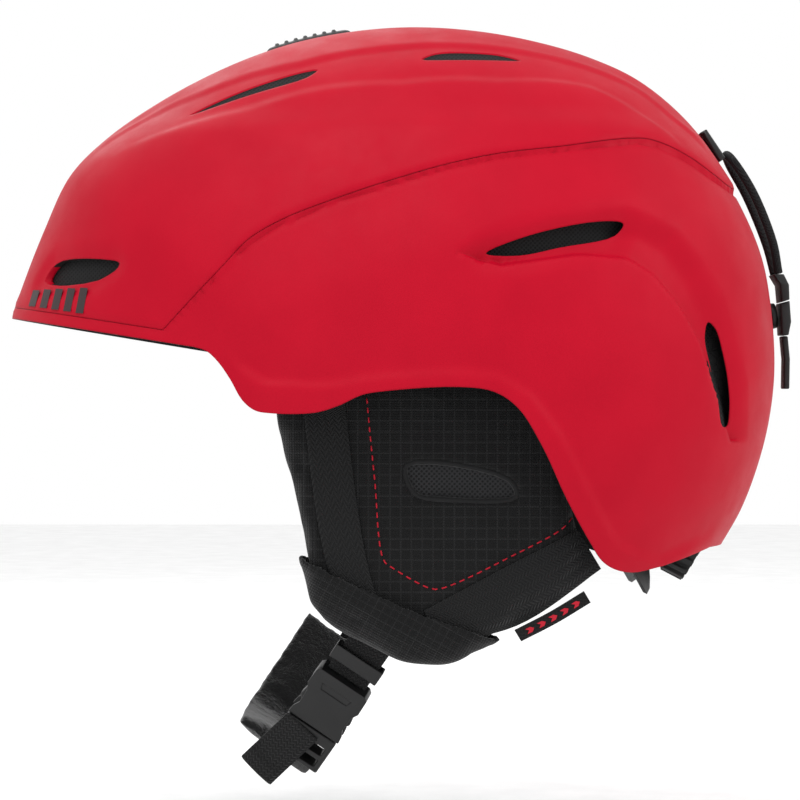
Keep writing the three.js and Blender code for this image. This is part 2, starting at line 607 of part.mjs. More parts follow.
// Goggle retainer at the rear: a loop of cord from an anchor on the crown, with a hook that snaps on a stud.
const retainer = new THREE.Group();
retainer.position.set(...RETAINER_PIVOT);
part.add(retainer);
const anchorBase = alongX(outline([[113.1, 100.8], [120.5, 90], [122.9, 91.4], [115.6, 102.2]]), -9, 9, 0.5);
add(part, 'goggle_anchor', anchorBase, PLASTIC);
const cordLine = new THREE.CatmullRomCurve3([
  new THREE.Vector3(-7, 24.6, -47.4),
  new THREE.Vector3(-10.8, 22, -36),
  new THREE.Vector3(-11.6, 14.6, -17.6),
  new THREE.Vector3(-8.4, 7.6, -5.6),
  new THREE.Vector3(0, 5.6, -2.4),
  new THREE.Vector3(8.4, 7.6, -5.6),
  new THREE.Vector3(11.6, 14.6, -17.6),
  new THREE.Vector3(10.8, 22, -36),
  new THREE.Vector3(7, 24.6, -47.4),
]);
const cordRound = new THREE.Shape().absarc(0, 0, CORD_RADIUS, 0, 2 * Math.PI);
const cordLoop = new THREE.ExtrudeGeometry(cordRound, {
  steps: 22,
  curveSegments: 6,
  bevelEnabled: false,
  extrudePath: cordLine,
});
add(retainer, 'goggle_cord', cordLoop, CORD);
const HOOK = [[22.6, -48], [26.4, -48], [28.4, -52], [28.6, -57.6], [25.6, -58.6], [25, -52]];
const hook = alongX(outline(HOOK), -9, 9, 0.6);
add(retainer, 'goggle_hook', hook, PLASTIC);
const CLIP = [[25.2, -58.9], [28.8, -58], [29.4, -66], [28.4, -71], [25.8, -71]];
const clip = alongX(outline(CLIP), -7.5, 7.5, 0.6);
add(retainer, 'goggle_clip', clip, PLASTIC);
const PULL_TAB = [[26.2, -71.3], [28.4, -71.3], [29.2, -80], [29, -91.3], [26.8, -91.3], [27, -80]];
const pullTab = alongX(outline(PULL_TAB), -5, 5);
add(retainer, 'goggle_pull_tab', pullTab, PLASTIC);
const stud = new THREE.CylinderGeometry(4.6, 5, 2.4, 20).rotateX(0.16).translate(0, 141.85, 32);
add(part, 'goggle_stud', stud, PLASTIC);

export default part;
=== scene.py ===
# The full look of the ski helmet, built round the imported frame. Lengths inside the shape functions are in
# millimetres, in the row frame: front -Y, the wearer's left +X, up +Z. Objects are made in metres.
import json
import math

import bmesh
import bpy
import numpy as np
from mathutils import Matrix, Vector
from mathutils.bvhtree import BVHTree


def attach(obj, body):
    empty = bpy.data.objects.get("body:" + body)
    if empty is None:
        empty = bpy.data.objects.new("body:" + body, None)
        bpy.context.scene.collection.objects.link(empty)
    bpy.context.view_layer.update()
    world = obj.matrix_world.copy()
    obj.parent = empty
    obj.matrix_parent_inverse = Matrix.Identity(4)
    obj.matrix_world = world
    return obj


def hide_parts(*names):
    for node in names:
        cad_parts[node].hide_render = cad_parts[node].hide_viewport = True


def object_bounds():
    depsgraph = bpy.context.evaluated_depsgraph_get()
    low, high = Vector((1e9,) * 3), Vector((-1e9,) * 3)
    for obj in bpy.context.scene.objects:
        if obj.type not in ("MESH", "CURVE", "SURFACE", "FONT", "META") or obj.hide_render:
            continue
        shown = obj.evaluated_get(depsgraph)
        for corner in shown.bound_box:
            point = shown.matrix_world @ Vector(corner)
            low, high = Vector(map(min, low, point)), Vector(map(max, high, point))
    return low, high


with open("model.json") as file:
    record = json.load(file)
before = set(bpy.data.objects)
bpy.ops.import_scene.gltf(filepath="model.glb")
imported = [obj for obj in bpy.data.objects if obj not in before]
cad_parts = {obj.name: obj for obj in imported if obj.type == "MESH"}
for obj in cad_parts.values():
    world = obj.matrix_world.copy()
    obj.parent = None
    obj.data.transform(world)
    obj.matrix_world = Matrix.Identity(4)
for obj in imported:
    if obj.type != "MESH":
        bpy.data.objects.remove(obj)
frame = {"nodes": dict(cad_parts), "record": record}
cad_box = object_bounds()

scene = bpy.context.scene
MM = 0.001

# ---------------------------------------------------------------- camera, lights, stage
camera_data = bpy.data.cameras.new("camera")
camera_data.sensor_width = 36
camera_data.lens = 142.1
camera_data.clip_start = 0.01
camera = bpy.data.objects.new("camera", camera_data)
camera.location = (1.2, 0, 0)
camera.rotation_euler = (math.pi / 2, 0, math.pi / 2)
scene.collection.objects.link(camera)
scene.camera = camera


def area_light(name, place, aim, size, power):
    data = bpy.data.lights.new(name, "AREA")
    data.shape = "DISK"
    data.size = size
    data.energy = power
    lamp = bpy.data.objects.new(name, data)
    lamp.location = place
    lamp.rotation_euler = (Vector(aim) - Vector(place)).to_track_quat("-Z", "Y").to_euler()
    scene.collection.objects.link(lamp)


area_light("key_light", (0.7, -0.35, 1.3), (0, 0, 0.03), 0.9, 11)
area_light("side_light", (1.3, -0.5, 0.25), (0, 0, 0), 0.9, 1.2)
area_light("rear_light", (0.5, 1.2, 0.7), (0, 0.05, 0), 0.7, 6.5)
area_light("far_light", (-1.0, -0.4, 0.9), (0, 0, 0), 0.9, 4)

world = bpy.data.worlds.new("studio")
world.use_nodes = True
world.node_tree.nodes["Background"].inputs["Color"].default_value = (1, 1, 1, 1)
world.node_tree.nodes["Background"].inputs["Strength"].default_value = 1.0
scene.world = world
scene.view_settings.view_transform = "Standard"


# ---------------------------------------------------------------- materials
class Look:
    """A node material with a few shorthands. Coordinates are the object's own, the row's, in metres."""

    def __init__(self, name):
        self.material = bpy.data.materials.new(name)
        self.material.use_nodes = True
        self.tree = self.material.node_tree
        self.shader = self.tree.nodes["Principled BSDF"]
        self.shader.inputs["Specular IOR Level"].default_value = 0.18
        self.place = self.add("ShaderNodeTexCoord").outputs["Object"]

    def add(self, kind, settings=None, **inputs):
        node = self.tree.nodes.new(kind)
        for key, value in (settings or {}).items():
            setattr(node, key, value)
        for key, value in inputs.items():
            self.put(node.inputs[int(key[1:]) if key[0] == "_" else key], value)
        return node

    def put(self, socket, value):
        if isinstance(value, bpy.types.NodeSocket):
            self.tree.links.new(value, socket)
        else:
            socket.default_value = value

    def set(self, **inputs):
        for key, value in inputs.items():
            self.put(self.shader.inputs[key.replace("_", " ")], value)

    def maths(self, operation, first, second=0.0, third=0.0):
        node = self.add("ShaderNodeMath", {"operation": operation}, _0=first, _1=second, _2=third)
        return node.outputs[0]

    def noise(self, scale, detail=4.0, rough=0.55):
        node = self.add("ShaderNodeTexNoise", Vector=self.place, Scale=scale, Detail=detail, Roughness=rough)
        return node.outputs["Fac"]

    def ramp(self, value, low, high, start=0.0, end=1.0):
        node = self.add("ShaderNodeMapRange", {}, Value=value)
        for key, number in (("From Min", start), ("From Max", end), ("To Min", low), ("To Max", high)):
            node.inputs[key].default_value = number
        return node.outputs["Result"]

    def blend(self, factor, first, second):
        node = self.add("ShaderNodeMix", {"data_type": "RGBA"})
        self.put(node.inputs[0], factor)
        self.put(node.inputs[6], (*first, 1) if isinstance(first, tuple) else first)
        self.put(node.inputs[7], (*second, 1) if isinstance(second, tuple) else second)
        return node.outputs[2]

    def bump(self, height, distance, strength=1.0, before=None):
        node = self.add("ShaderNodeBump", {}, Height=height, Distance=distance, Strength=strength)
        if before is not None:
            self.put(node.inputs["Normal"], before)
        return node.outputs["Normal"]

    def axes(self, source=None):
        node = self.add("ShaderNodeSeparateXYZ", {}, Vector=source or self.place)
        return node.outputs

    def wave(self, value, pitch):
        """0 to 1 and back once for each pitch."""
        turned = self.maths("MULTIPLY", value, 2 * math.pi / pitch)
        return self.maths("MULTIPLY_ADD", self.maths("SINE", turned), 0.5, 0.5)


def moulded(name, colour, roughness, grain=0.00012, coat=0.0, edge=0.0, gloss=0.4):
    look = Look(name)
    fine = look.noise(2600, 3)
    broad = look.noise(38, 3)
    lighter = tuple(c * 1.06 + 0.0004 for c in colour)
    colour_mix = look.blend(look.ramp(broad, 0, 1, 0.35, 0.65), colour, lighter)
    before = None
    if edge:
        before = look.add("ShaderNodeBevel", {"samples": 6}, Radius=edge).outputs[0]
    look.set(
        Base_Color=colour_mix,
        Roughness=look.ramp(look.noise(90, 4), roughness - 0.05, roughness + 0.06, 0.3, 0.7),
        Normal=look.bump(fine, grain, 0.5, before),
        Coat_Weight=coat,
        Coat_Roughness=0.32,
    )
    look.shader.inputs["IOR"].default_value = 1.48
    look.shader.inputs["Specular IOR Level"].default_value = gloss
    return look.material


def woven(name, colour, light, grid, thread, turn=0.0, line=0.14):
    """Plain cloth with a ripstop grid, drawn on the YZ plane, turned by an angle."""
    look = Look(name)
    _, y, z = look.axes()
    cosine, sine = math.cos(turn), math.sin(turn)
    across = look.maths("ADD", look.maths("MULTIPLY", y, cosine), look.maths("MULTIPLY", z, sine))
    along = look.maths("SUBTRACT", look.maths("MULTIPLY", z, cosine), look.maths("MULTIPLY", y, sine))
    lines = []
    for direction in (across, along):
        part = look.maths("FRACT", look.maths("ADD", look.maths("DIVIDE", direction, grid), 40.0))
        lines.append(look.maths("LESS_THAN", part, line))
    ripstop = look.maths("MAXIMUM", lines[0], lines[1])
    weave = look.maths("MULTIPLY", look.wave(across, thread), look.wave(along, thread))
    dashes = look.maths("MULTIPLY", ripstop, look.ramp(weave, 0.35, 1.0, 0.1, 0.6))
    faded = look.ramp(look.noise(60, 4), 0.75, 1.25, 0.3, 0.7)
    shade = look.blend(dashes, colour, light)
    mixed = look.add("ShaderNodeMix", {"data_type": "RGBA", "blend_type": "MULTIPLY"})
    mixed.inputs[0].default_value = 1.0
    look.put(mixed.inputs[6], shade)
    look.put(mixed.inputs[7], look.add("ShaderNodeCombineColor", {}, _0=faded, _1=faded, _2=faded).outputs[0])
    height = look.maths("ADD", weave, look.maths("MULTIPLY", ripstop, 0.7))
    soft = look.bump(look.noise(220, 3), 0.0006, 0.35)
    look.set(
        Base_Color=mixed.outputs[2],
        Roughness=0.86,
        Normal=look.bump(height, 0.00022, 0.8, soft),
        Sheen_Weight=0.12,
        Sheen_Roughness=0.5,
    )
    return look.material


def webbing(name, colour, light, pitch=0.0016, rib=0.0022):
    """Ribbed strap: UV x runs across and UV y along, both in metres."""
    look = Look(name)
    u, v, _ = look.axes(look.add("ShaderNodeUVMap").outputs["UV"])
    twill = look.wave(look.maths("ADD", u, v), pitch)
    counter = look.wave(look.maths("SUBTRACT", u, v), pitch)
    side = look.wave(u, rib)
    weave = look.maths("MAXIMUM", look.maths("MULTIPLY", twill, side), look.maths("MULTIPLY", counter,
                       look.maths("SUBTRACT", 1.0, side)))
    fuzz = look.noise(900, 3)
    tone = look.maths("MULTIPLY", look.ramp(weave, 0.1, 1.0), look.ramp(fuzz, 0.6, 1.2))
    look.set(
        Base_Color=look.blend(tone, colour, light),
        Roughness=look.ramp(weave, 0.8, 0.62),
        Normal=look.bump(weave, 0.00045, 0.9),
        Sheen_Weight=0.1,
    )
    return look.material


def fleece(name, colour):
    look = Look(name)
    curl = look.noise(700, 6, 0.7)
    clump = look.noise(160, 4)
    look.set(
        Base_Color=look.blend(look.ramp(clump, 0, 1, 0.35, 0.65), colour, tuple(c * 2.2 for c in colour)),
        Roughness=0.98,
        Normal=look.bump(curl, 0.0012, 0.9, look.bump(clump, 0.0015, 0.6)),
        Sheen_Weight=0.6,
        Sheen_Roughness=0.45,
    )
    return look.material


def beaded_foam(name, colour):
    look = Look(name)
    cells = look.add("ShaderNodeTexVoronoi", {"feature": "DISTANCE_TO_EDGE"}, Vector=look.place, Scale=330.0)
    edge = look.ramp(cells.outputs["Distance"], 0, 1, 0.0, 0.12)
    look.set(
        Base_Color=look.blend(edge, tuple(c * 0.5 for c in colour), colour),
        Roughness=0.82,
        Normal=look.bump(edge, 0.0004, 0.6),
    )
    return look.material


def mesh_cloth(name, colour, pitch=0.0016):
    look = Look(name)
    _, y, z = look.axes()
    holes = look.maths("MULTIPLY", look.wave(look.maths("ADD", y, z), pitch), look.wave(
        look.maths("SUBTRACT", y, z), pitch))
    shade = look.ramp(holes, 0, 1, 0.25, 0.5)
    look.set(
        Base_Color=look.blend(shade, tuple(c * 4.5 for c in colour), colour),
        Roughness=0.7,
        Normal=look.bump(look.maths("SUBTRACT", 1.0, shade), 0.0005, 0.9),
    )
    return look.material


def thread(name, colour):
    look = Look(name)
    x, y, z = look.axes()
    ply = look.wave(look.maths("ADD", look.maths("ADD", x, y), z), 0.0005)
    look.set(
        Base_Color=look.blend(ply, tuple(c * 0.6 for c in colour), colour),
        Roughness=0.6,
        Normal=look.bump(ply, 0.00012, 0.8),
    )
    return look.material


def braided(name, colour):
    look = Look(name)
    x, y, z = look.axes()
    one = look.wave(look.maths("ADD", z, look.maths("MULTIPLY", x, 1.6)), 0.0013)
    two = look.wave(look.maths("SUBTRACT", z, look.maths("ADD", look.maths("MULTIPLY", x, 1.6), y)), 0.0013)
    braid = look.maths("MAXIMUM", one, two)
    look.set(
        Base_Color=look.blend(braid, tuple(c * 0.4 for c in colour), tuple(c * 2.0 for c in colour)),
        Roughness=0.7,
        Normal=look.bump(braid, 0.0003, 0.9),
    )
    return look.material


def brushed(name, colour):
    look = Look(name)
    streaks = look.add("ShaderNodeMapping", {}, Vector=look.place, Scale=(400, 4000, 400))
    grain = look.add("ShaderNodeTexNoise", {}, Vector=streaks.outputs[0], Scale=4.0, Detail=4.0)
    look.set(
        Base_Color=look.blend(grain.outputs["Fac"], tuple(c * 0.7 for c in colour), colour),
        Roughness=look.ramp(grain.outputs["Fac"], 0.25, 0.45),
        Normal=look.bump(grain.outputs["Fac"], 0.00005, 0.4),
        Metallic=1.0,
    )
    return look.material


RED = moulded("shell_red", (0.36, 0.0007, 0.0125), 0.5, 0.00009, 0.0, 0.0011, 0.09)
BLACK = moulded("black_plastic", (0.0042, 0.0042, 0.0045), 0.42, 0.0001, 0.0, 0.0005)
DARK = moulded("vent_plastic", (0.003, 0.003, 0.003), 0.6, 0.0002)
RUBBER = moulded("soft_rubber", (0.0036, 0.0036, 0.0039), 0.62, 0.00025, 0.0, 0.0005)
MARK = moulded("printed_mark", (0.022, 0.010, 0.011), 0.5, 0.00005)
FOAM = beaded_foam("beaded_foam", (0.0065, 0.0065, 0.007))
EAR_CLOTH = woven("ear_ripstop", (0.0027, 0.0027, 0.0029), (0.0115, 0.0115, 0.012), 0.0038, 0.0009)
CUFF_CLOTH = woven("cuff_ripstop", (0.0022, 0.0022, 0.0024), (0.0085, 0.0085, 0.009), 0.0030, 0.0009, -0.5)
LINING = woven("lining_cloth", (0.003, 0.003, 0.0032), (0.005, 0.005, 0.0053), 0.0022, 0.0011, 0.4)
WEB = webbing("strap_webbing", (0.0016, 0.0016, 0.0017), (0.009, 0.009, 0.0095))
BAND = webbing("band_webbing", (0.0024, 0.0024, 0.0026), (0.0066, 0.0066, 0.007), 0.0013, 0.003)
MESH = mesh_cloth("vent_mesh", (0.0018, 0.0018, 0.0019))
EAR_MESH = mesh_cloth("ear_mesh", (0.0042, 0.0042, 0.0045), 0.0018)
BAND_EDGE = webbing("vent_piping", (0.006, 0.006, 0.0064), (0.011, 0.011, 0.0115), 0.0013, 0.003)
FLEECE = fleece("chin_fleece", (0.0026, 0.0026, 0.0028))
RED_THREAD = thread("red_thread", (0.55, 0.012, 0.03))
BRAID = braided("braided_cord", (0.004, 0.004, 0.0043))
STEEL = brushed("brushed_steel", (0.55, 0.55, 0.56))
LABEL = woven("tag_cloth", (0.0036, 0.0036, 0.0038), (0.006, 0.006, 0.0063), 0.0012, 0.0006)


# ---------------------------------------------------------------- mesh helpers
def make(name, corners, faces, look, smooth=True, sharp=None):
    """A mesh object from corners in millimetres."""
    mesh = bpy.data.meshes.new(name)
    mesh.from_pydata([tuple(c) for c in np.asarray(corners, float) * MM], [], faces)
    mesh.update()
    if look is not None:
        mesh.materials.append(look)
    obj = bpy.data.objects.new(name, mesh)
    scene.collection.objects.link(obj)
    if smooth:
        mesh.shade_smooth()
        if sharp:
            mesh.set_sharp_from_angle(angle=math.radians(sharp))
    return obj


def values(items, key):
    """A vector property of every vertex or face, one row each."""
    found = np.empty(len(items) * 3)
    items.foreach_get(key, found)
    return found.reshape(-1, 3)


def face_outward(obj):
    work = bmesh.new()
    work.from_mesh(obj.data)
    bmesh.ops.recalc_face_normals(work, faces=work.faces)
    work.to_mesh(obj.data)
    work.free()
    return obj


def settle(obj):
    """Applies every modifier."""
    graph = bpy.context.evaluated_depsgraph_get()
    graph.update()
    mesh = bpy.data.meshes.new_from_object(obj.evaluated_get(graph))
    obj.modifiers.clear()
    obj.data = mesh
    return obj


def boolean(obj, tool, operation="DIFFERENCE"):
    step = obj.modifiers.new("boolean", "BOOLEAN")
    step.operation = operation
    step.solver = "MANIFOLD"
    step.object = tool
    settle(obj)
    bpy.data.objects.remove(tool)
    return obj


def copy_of(obj, name):
    twin = obj.copy()
    twin.data = obj.data.copy()
    twin.name = name
    scene.collection.objects.link(twin)
    return twin


def mirrored(obj, name):
    twin = copy_of(obj, name)
    twin.data.transform(Matrix.Scale(-1, 4, (1, 0, 0)))
    twin.data.flip_normals()
    return twin


def soften(obj, width, segments=2, angle=30):
    """Rounds a piece's edges by a width in millimetres."""
    step = obj.modifiers.new("round", "BEVEL")
    step.width = width * MM
    step.segments = segments
    step.limit_method = "ANGLE"
    step.angle_limit = math.radians(angle)
    step.harden_normals = False
    settle(obj)
    obj.data.shade_smooth()
    obj.data.set_sharp_from_angle(angle=math.radians(50))
    return obj


def place(obj, matrix):
    obj.data.transform(matrix)
    obj.data.update()
    return obj


def curve_through(points, count, closed=True):
    """Points along a centripetal Catmull-Rom curve."""
    points = np.asarray(points, float)
    total = len(points)
    if not closed:
        points = np.vstack([2 * points[0] - points[1], points, 2 * points[-1] - points[-2]])
    made = []
    spans = total if closed else total - 1
    for i in range(spans):
        if closed:
            a, b, c, d = (points[(i + k - 1) % total] for k in range(4))
        else:
            a, b, c, d = points[i:i + 4]
        gaps = [max(1e-4, np.linalg.norm(q - p) ** 0.5) for p, q in ((a, b), (b, c), (c, d))]
        start = ((b - a) / gaps[0] - (c - a) / (gaps[0] + gaps[1]) + (c - b) / gaps[1]) * gaps[1]
        end = ((c - b) / gaps[1] - (d - b) / (gaps[1] + gaps[2]) + (d - c) / gaps[2]) * gaps[1]
        for k in range(count):
            t = k / count
            made.append(b + start * t + (3 * (c - b) - 2 * start - end) * t ** 2
                        + (2 * (b - c) + start + end) * t ** 3)
    if not closed:
        made.append(points[-2])
    return np.array(made)


def prism(outline, axis, low, high):
    """A closed tool: an outline in the plane square to an axis, carried along it."""
    outline = np.asarray(outline, float)
    count = len(outline)
    layers = []
    for level in (low, high):
        full = np.insert(outline, axis, level, axis=1)
        layers.append(full)
    corners = np.vstack(layers)
    faces = [tuple(range(count)), tuple(range(2 * count - 1, count - 1, -1))]
    for i in range(count):
        j = (i + 1) % count
        faces.append((i, i + count, j + count, j))
    obj = make("tool", corners, faces, None, smooth=False)
    return face_outward(obj)


def ring_tube(points, radius, look, name, sides=12, closed=False, flat=1.0):
    """A tube through points in millimetres."""
    points = np.asarray(points, float)
    count = len(points)
    corners = []
    normal = None
    for i in range(count):
        if closed:
            along = points[(i + 1) % count] - points[i - 1]
        else:
            along = points[min(i + 1, count - 1)] - points[max(i - 1, 0)]
        along /= np.linalg.norm(along)
        if normal is None:
            normal = np.cross(along, (0.3, 0.1, 0.9))
        normal = normal - along * np.dot(normal, along)
        normal /= np.linalg.norm(normal)
        side = np.cross(along, normal)
        for k in range(sides):
            turn = 2 * math.pi * k / sides
            corners.append(points[i] + radius * (normal * math.cos(turn) + flat * side * math.sin(turn)))
    faces = []
    for i in range(count if closed else count - 1):
        for k in range(sides):
            j, n = (i + 1) % count, (k + 1) % sides
            faces.append((i * sides + k, i * sides + n, j * sides + n, j * sides + k))
    if not closed:
        faces.append(tuple(range(sides - 1, -1, -1)))
        faces.append(tuple((count - 1) * sides + k for k in range(sides)))
    return make(name, corners, faces, look, sharp=60)


def skin(columns, rows, front, back, name, look, uv=None):
    """A closed plate between two surfaces of (u, v), with optional UVs in metres for webbing."""
    u, v = np.meshgrid(np.linspace(0, 1, columns + 1), np.linspace(0, 1, rows + 1))
    corners = np.vstack([np.stack(surface(u.ravel(), v.ravel()), 1) for surface in (front, back)])
    row, side = columns + 1, (columns + 1) * (rows + 1)
    faces = []
    for j in range(rows):
        for i in range(columns):
            a = j * row + i
            faces.append((a, a + 1, a + 1 + row, a + row))
            faces.append((side + a, side + a + row, side + a + 1 + row, side + a + 1))
    for i in range(columns):
        faces.append((i, side + i, side + i + 1, i + 1))
        top = rows * row + i
        faces.append((top, top + 1, side + top + 1, side + top))
    for j in range(rows):
        left, right = j * row, j * row + columns
        faces.append((left, left + row, side + left + row, side + left))
        faces.append((right, side + right, side + right + row, right + row))
    obj = make(name, corners, faces, look, sharp=50)
    if uv is not None:
        width, length = uv
        flat = np.concatenate([np.stack([u.ravel() * width, v.ravel() * length], 1)] * 2) * MM
        layer = obj.data.uv_layers.new(name="UVMap")
        index = np.empty(len(obj.data.loops), int)
        obj.data.loops.foreach_get("vertex_index", index)
        layer.data.foreach_set("uv", flat[index].ravel())
    return face_outward(obj)


def ramp(value, low, high):
    t = np.clip((value - low) / (high - low), 0, 1)
    return t * t * (3 - 2 * t)


def outline_distance(y, z, outline):
    """Distance to a closed outline: negative inside."""
    outline = np.asarray(outline, float)
    nearest = np.full(y.shape, 1e9)
    inside = np.zeros(y.shape, bool)
    for (ay, az), (by, bz) in zip(outline, np.roll(outline, -1, 0)):
        ey, ez = by - ay, bz - az
        t = np.clip(((y - ay) * ey + (z - az) * ez) / (ey * ey + ez * ez), 0, 1)
        nearest = np.minimum(nearest, np.hypot(y - ay - t * ey, z - az - t * ez))
        crosses = (az > z) != (bz > z)
        with np.errstate(divide="ignore", invalid="ignore"):
            at = ay + (z - az) * ey / (ez if ez else 1e-9)
        inside ^= crosses & (y < at)
    return np.where(inside, -nearest, nearest)


def line_distance(y, z, line):
    line = np.asarray(line, float)
    nearest = np.full(np.shape(y), 1e9)
    for (ay, az), (by, bz) in zip(line[:-1], line[1:]):
        ey, ez = by - ay, bz - az
        t = np.clip(((y - ay) * ey + (z - az) * ez) / (ey * ey + ez * ez), 0, 1)
        nearest = np.minimum(nearest, np.hypot(y - ay - t * ey, z - az - t * ez))
    return nearest


def inflate(obj, voxel, cap, pressure=4.0, shrink=0.8, subdivide=1, frames=20):
    """Fills a closed soft piece with air by Blender's cloth, and caps how far a point moves."""
    step = obj.modifiers.new("even", "REMESH")
    step.mode = "VOXEL"
    step.voxel_size = voxel * MM
    settle(obj)
    mesh = obj.data
    start = values(mesh.vertices, "co") - values(mesh.vertices, "normal") * shrink * MM
    mesh.vertices.foreach_set("co", start.ravel())
    mesh.update()
    end = start
    cloth = obj.modifiers.new("air", "CLOTH")
    cloth.settings.quality = 5
    cloth.settings.mass = 0.3
    cloth.settings.tension_stiffness = 15
    cloth.settings.compression_stiffness = 15
    cloth.settings.bending_stiffness = 0.5
    cloth.settings.use_pressure = True
    cloth.settings.uniform_pressure_force = pressure
    cloth.settings.effector_weights.gravity = 0
    cloth.point_cache.frame_start = 1
    cloth.point_cache.frame_end = frames
    for number in range(1, frames + 1):
        scene.frame_set(number)
    graph = bpy.context.evaluated_depsgraph_get()
    end = values(obj.evaluated_get(graph).data.vertices, "co")
    obj.modifiers.clear()
    scene.frame_set(1)
    shift = end - start
    length = np.linalg.norm(shift, axis=1, keepdims=True)
    shift *= np.minimum(1, cap * MM / np.maximum(length, 1e-9))
    mesh.vertices.foreach_set("co", (start + shift).ravel())
    mesh.update()
    step = obj.modifiers.new("fine", "SUBSURF")
    step.levels = subdivide
    settle(obj)
    obj.data.shade_smooth()
    return obj


def surface_of(obj):
    mesh = obj.data
    mesh.calc_loop_triangles()
    corners = [v.co.copy() for v in mesh.vertices]
    return BVHTree.FromPolygons(corners, [tuple(t.vertices) for t in mesh.loop_triangles])


# ---------------------------------------------------------------- the shell's outside form
HALF_WIDTH = 107.0
POLE = (9.5, -15.2)
PROFILE = [
    (-146.7, 31.5), (-143.4, 41.5), (-134.6, 64), (-124.5, 85), (-110.5, 99), (-92.5, 111.5),
    (-74, 121.7), (-56, 129.6), (-38, 135.3), (-17, 139.2), (5, 140.7), (29, 139.2),
    (52, 135), (72, 129), (90, 120.5), (107.5, 106), (120.5, 89), (129.5, 74),
    (135.5, 58), (139.7, 36), (141.2, 12), (139.3, -7), (135, -24.5), (128.8, -41),
    (121.5, -54), (112.5, -69), (97, -87), (60, -107), (10, -116), (-45, -106),
    (-92, -77), (-125, -40), (-143, 0),
]
RIM = [
    (-175, 35.3), (-72.3, 18.6), (-68, 17.2), (-63.7, 13.3), (-59.4, 7.3), (-55.1, 0),
    (-50.9, -3.5), (-46.7, -4.5), (-30, -4.5), (-21.5, -2.1), (-13.2, 1.7), (-4.8, 3.1),
    (20, 4.5), (32.6, 2.8), (40.9, -2.8), (49.3, -16), (57.9, -34.2), (66.9, -50.3),
    (71.4, -56.9), (76, -60), (83, -61.5), (94.3, -59.7), (113.7, -54), (175, -54),
]
SEAM = [
    (-175, 39.5), (-83.7, 24.7), (-73.9, 35.2), (-61.5, 48.1), (-53.8, 56.2), (-42.2, 63.2),
    (-19.3, 72), (0, 78.3), (17.6, 83.4), (35.3, 87.2), (56.7, 90), (86.3, 94.2),
    (93.9, 93.1), (105.4, 88.4), (115.5, 82.5), (123.5, 78.6), (175, 78.6),
]
SIDE_RECESS = [
    (19.5, 50.8), (34.8, 47.4), (63, 51.4), (81, 49.6), (90, 44), (99, 33.6), (106.6, 21.3),
    (114.4, 0), (119, -15), (126.3, -14.6), (125.5, 7.2), (116.6, 35.9), (109, 50),
    (99.8, 61.3), (88.7, 66.7), (79.6, 68.6), (56, 65.2), (19.5, 53.4),
]
SIDE_VENT = [(30, 51.2), (41.8, 50.6), (55.9, 53.5), (76, 58.1), (79, 62.4), (70.4, 63), (45.4, 57.7)]
REAR_VENT = [(110.2, 27.8), (113, 25.5), (115.6, 18), (118, 7), (118.8, -3), (117.8, -9.6), (115.6, -9.4),
             (113.6, 1), (111.2, 12), (109, 22)]
BRIM_VENT = [(38, 43.6), (64, 43), (69.5, 48.6), (66, 50.2), (42, 49.8)]
FRONT_SLIT = [(44.6, -77), (50.4, -58), (53.2, -34), (50.2, -30), (47.6, -49)]
REAR_SLIT = [(52, 8), (50, 29), (45, 44), (43.4, 37), (44.4, 28), (47.6, 13)]
FLARE = [(-54, 15), (-35, 14.6), (-19, 11), (0, 12.5), (21, 13.5), (35, 12.5), (48.6, 5.2), (61, -8.7),
         (70, -24.5), (79.4, -42.4), (93.3, -55.4), (110, -48)]

profile = curve_through(PROFILE, 10)
profile_angles = np.arctan2(profile[:, 1] - POLE[1], profile[:, 0] - POLE[0])
profile_reach = np.hypot(profile[:, 1] - POLE[1], profile[:, 0] - POLE[0])
order = np.argsort(profile_angles)
profile_angles, profile_reach = profile_angles[order], profile_reach[order]


def reach_at(angle):
    return np.interp(angle, profile_angles, profile_reach, period=2 * math.pi)


def power_at(angle):
    return 1.9 + 0.12 * np.cos(angle) + 0.2 * (1 + np.sin(angle))


def envelope_point(angle, rise, depth):
    power = power_at(angle)
    reach = (reach_at(angle) - depth) * np.maximum(np.cos(rise), 0) ** (2 / power)
    side = np.sign(rise) * (HALF_WIDTH - depth) * np.abs(np.sin(rise)) ** (2 / power)
    return side, POLE[0] + reach * np.cos(angle), POLE[1] + reach * np.sin(angle)


def envelope_x(y, z, depth):
    """Half width of the form at a place on the side view."""
    angle = np.arctan2(z - POLE[1], y - POLE[0])
    ratio = np.hypot(y - POLE[0], z - POLE[1]) / (reach_at(angle) - depth)
    power = power_at(angle)
    return (HALF_WIDTH - depth) * np.maximum(1 - ratio ** power, 0) ** (1 / power)


seam_y, seam_z = np.array(SEAM).T


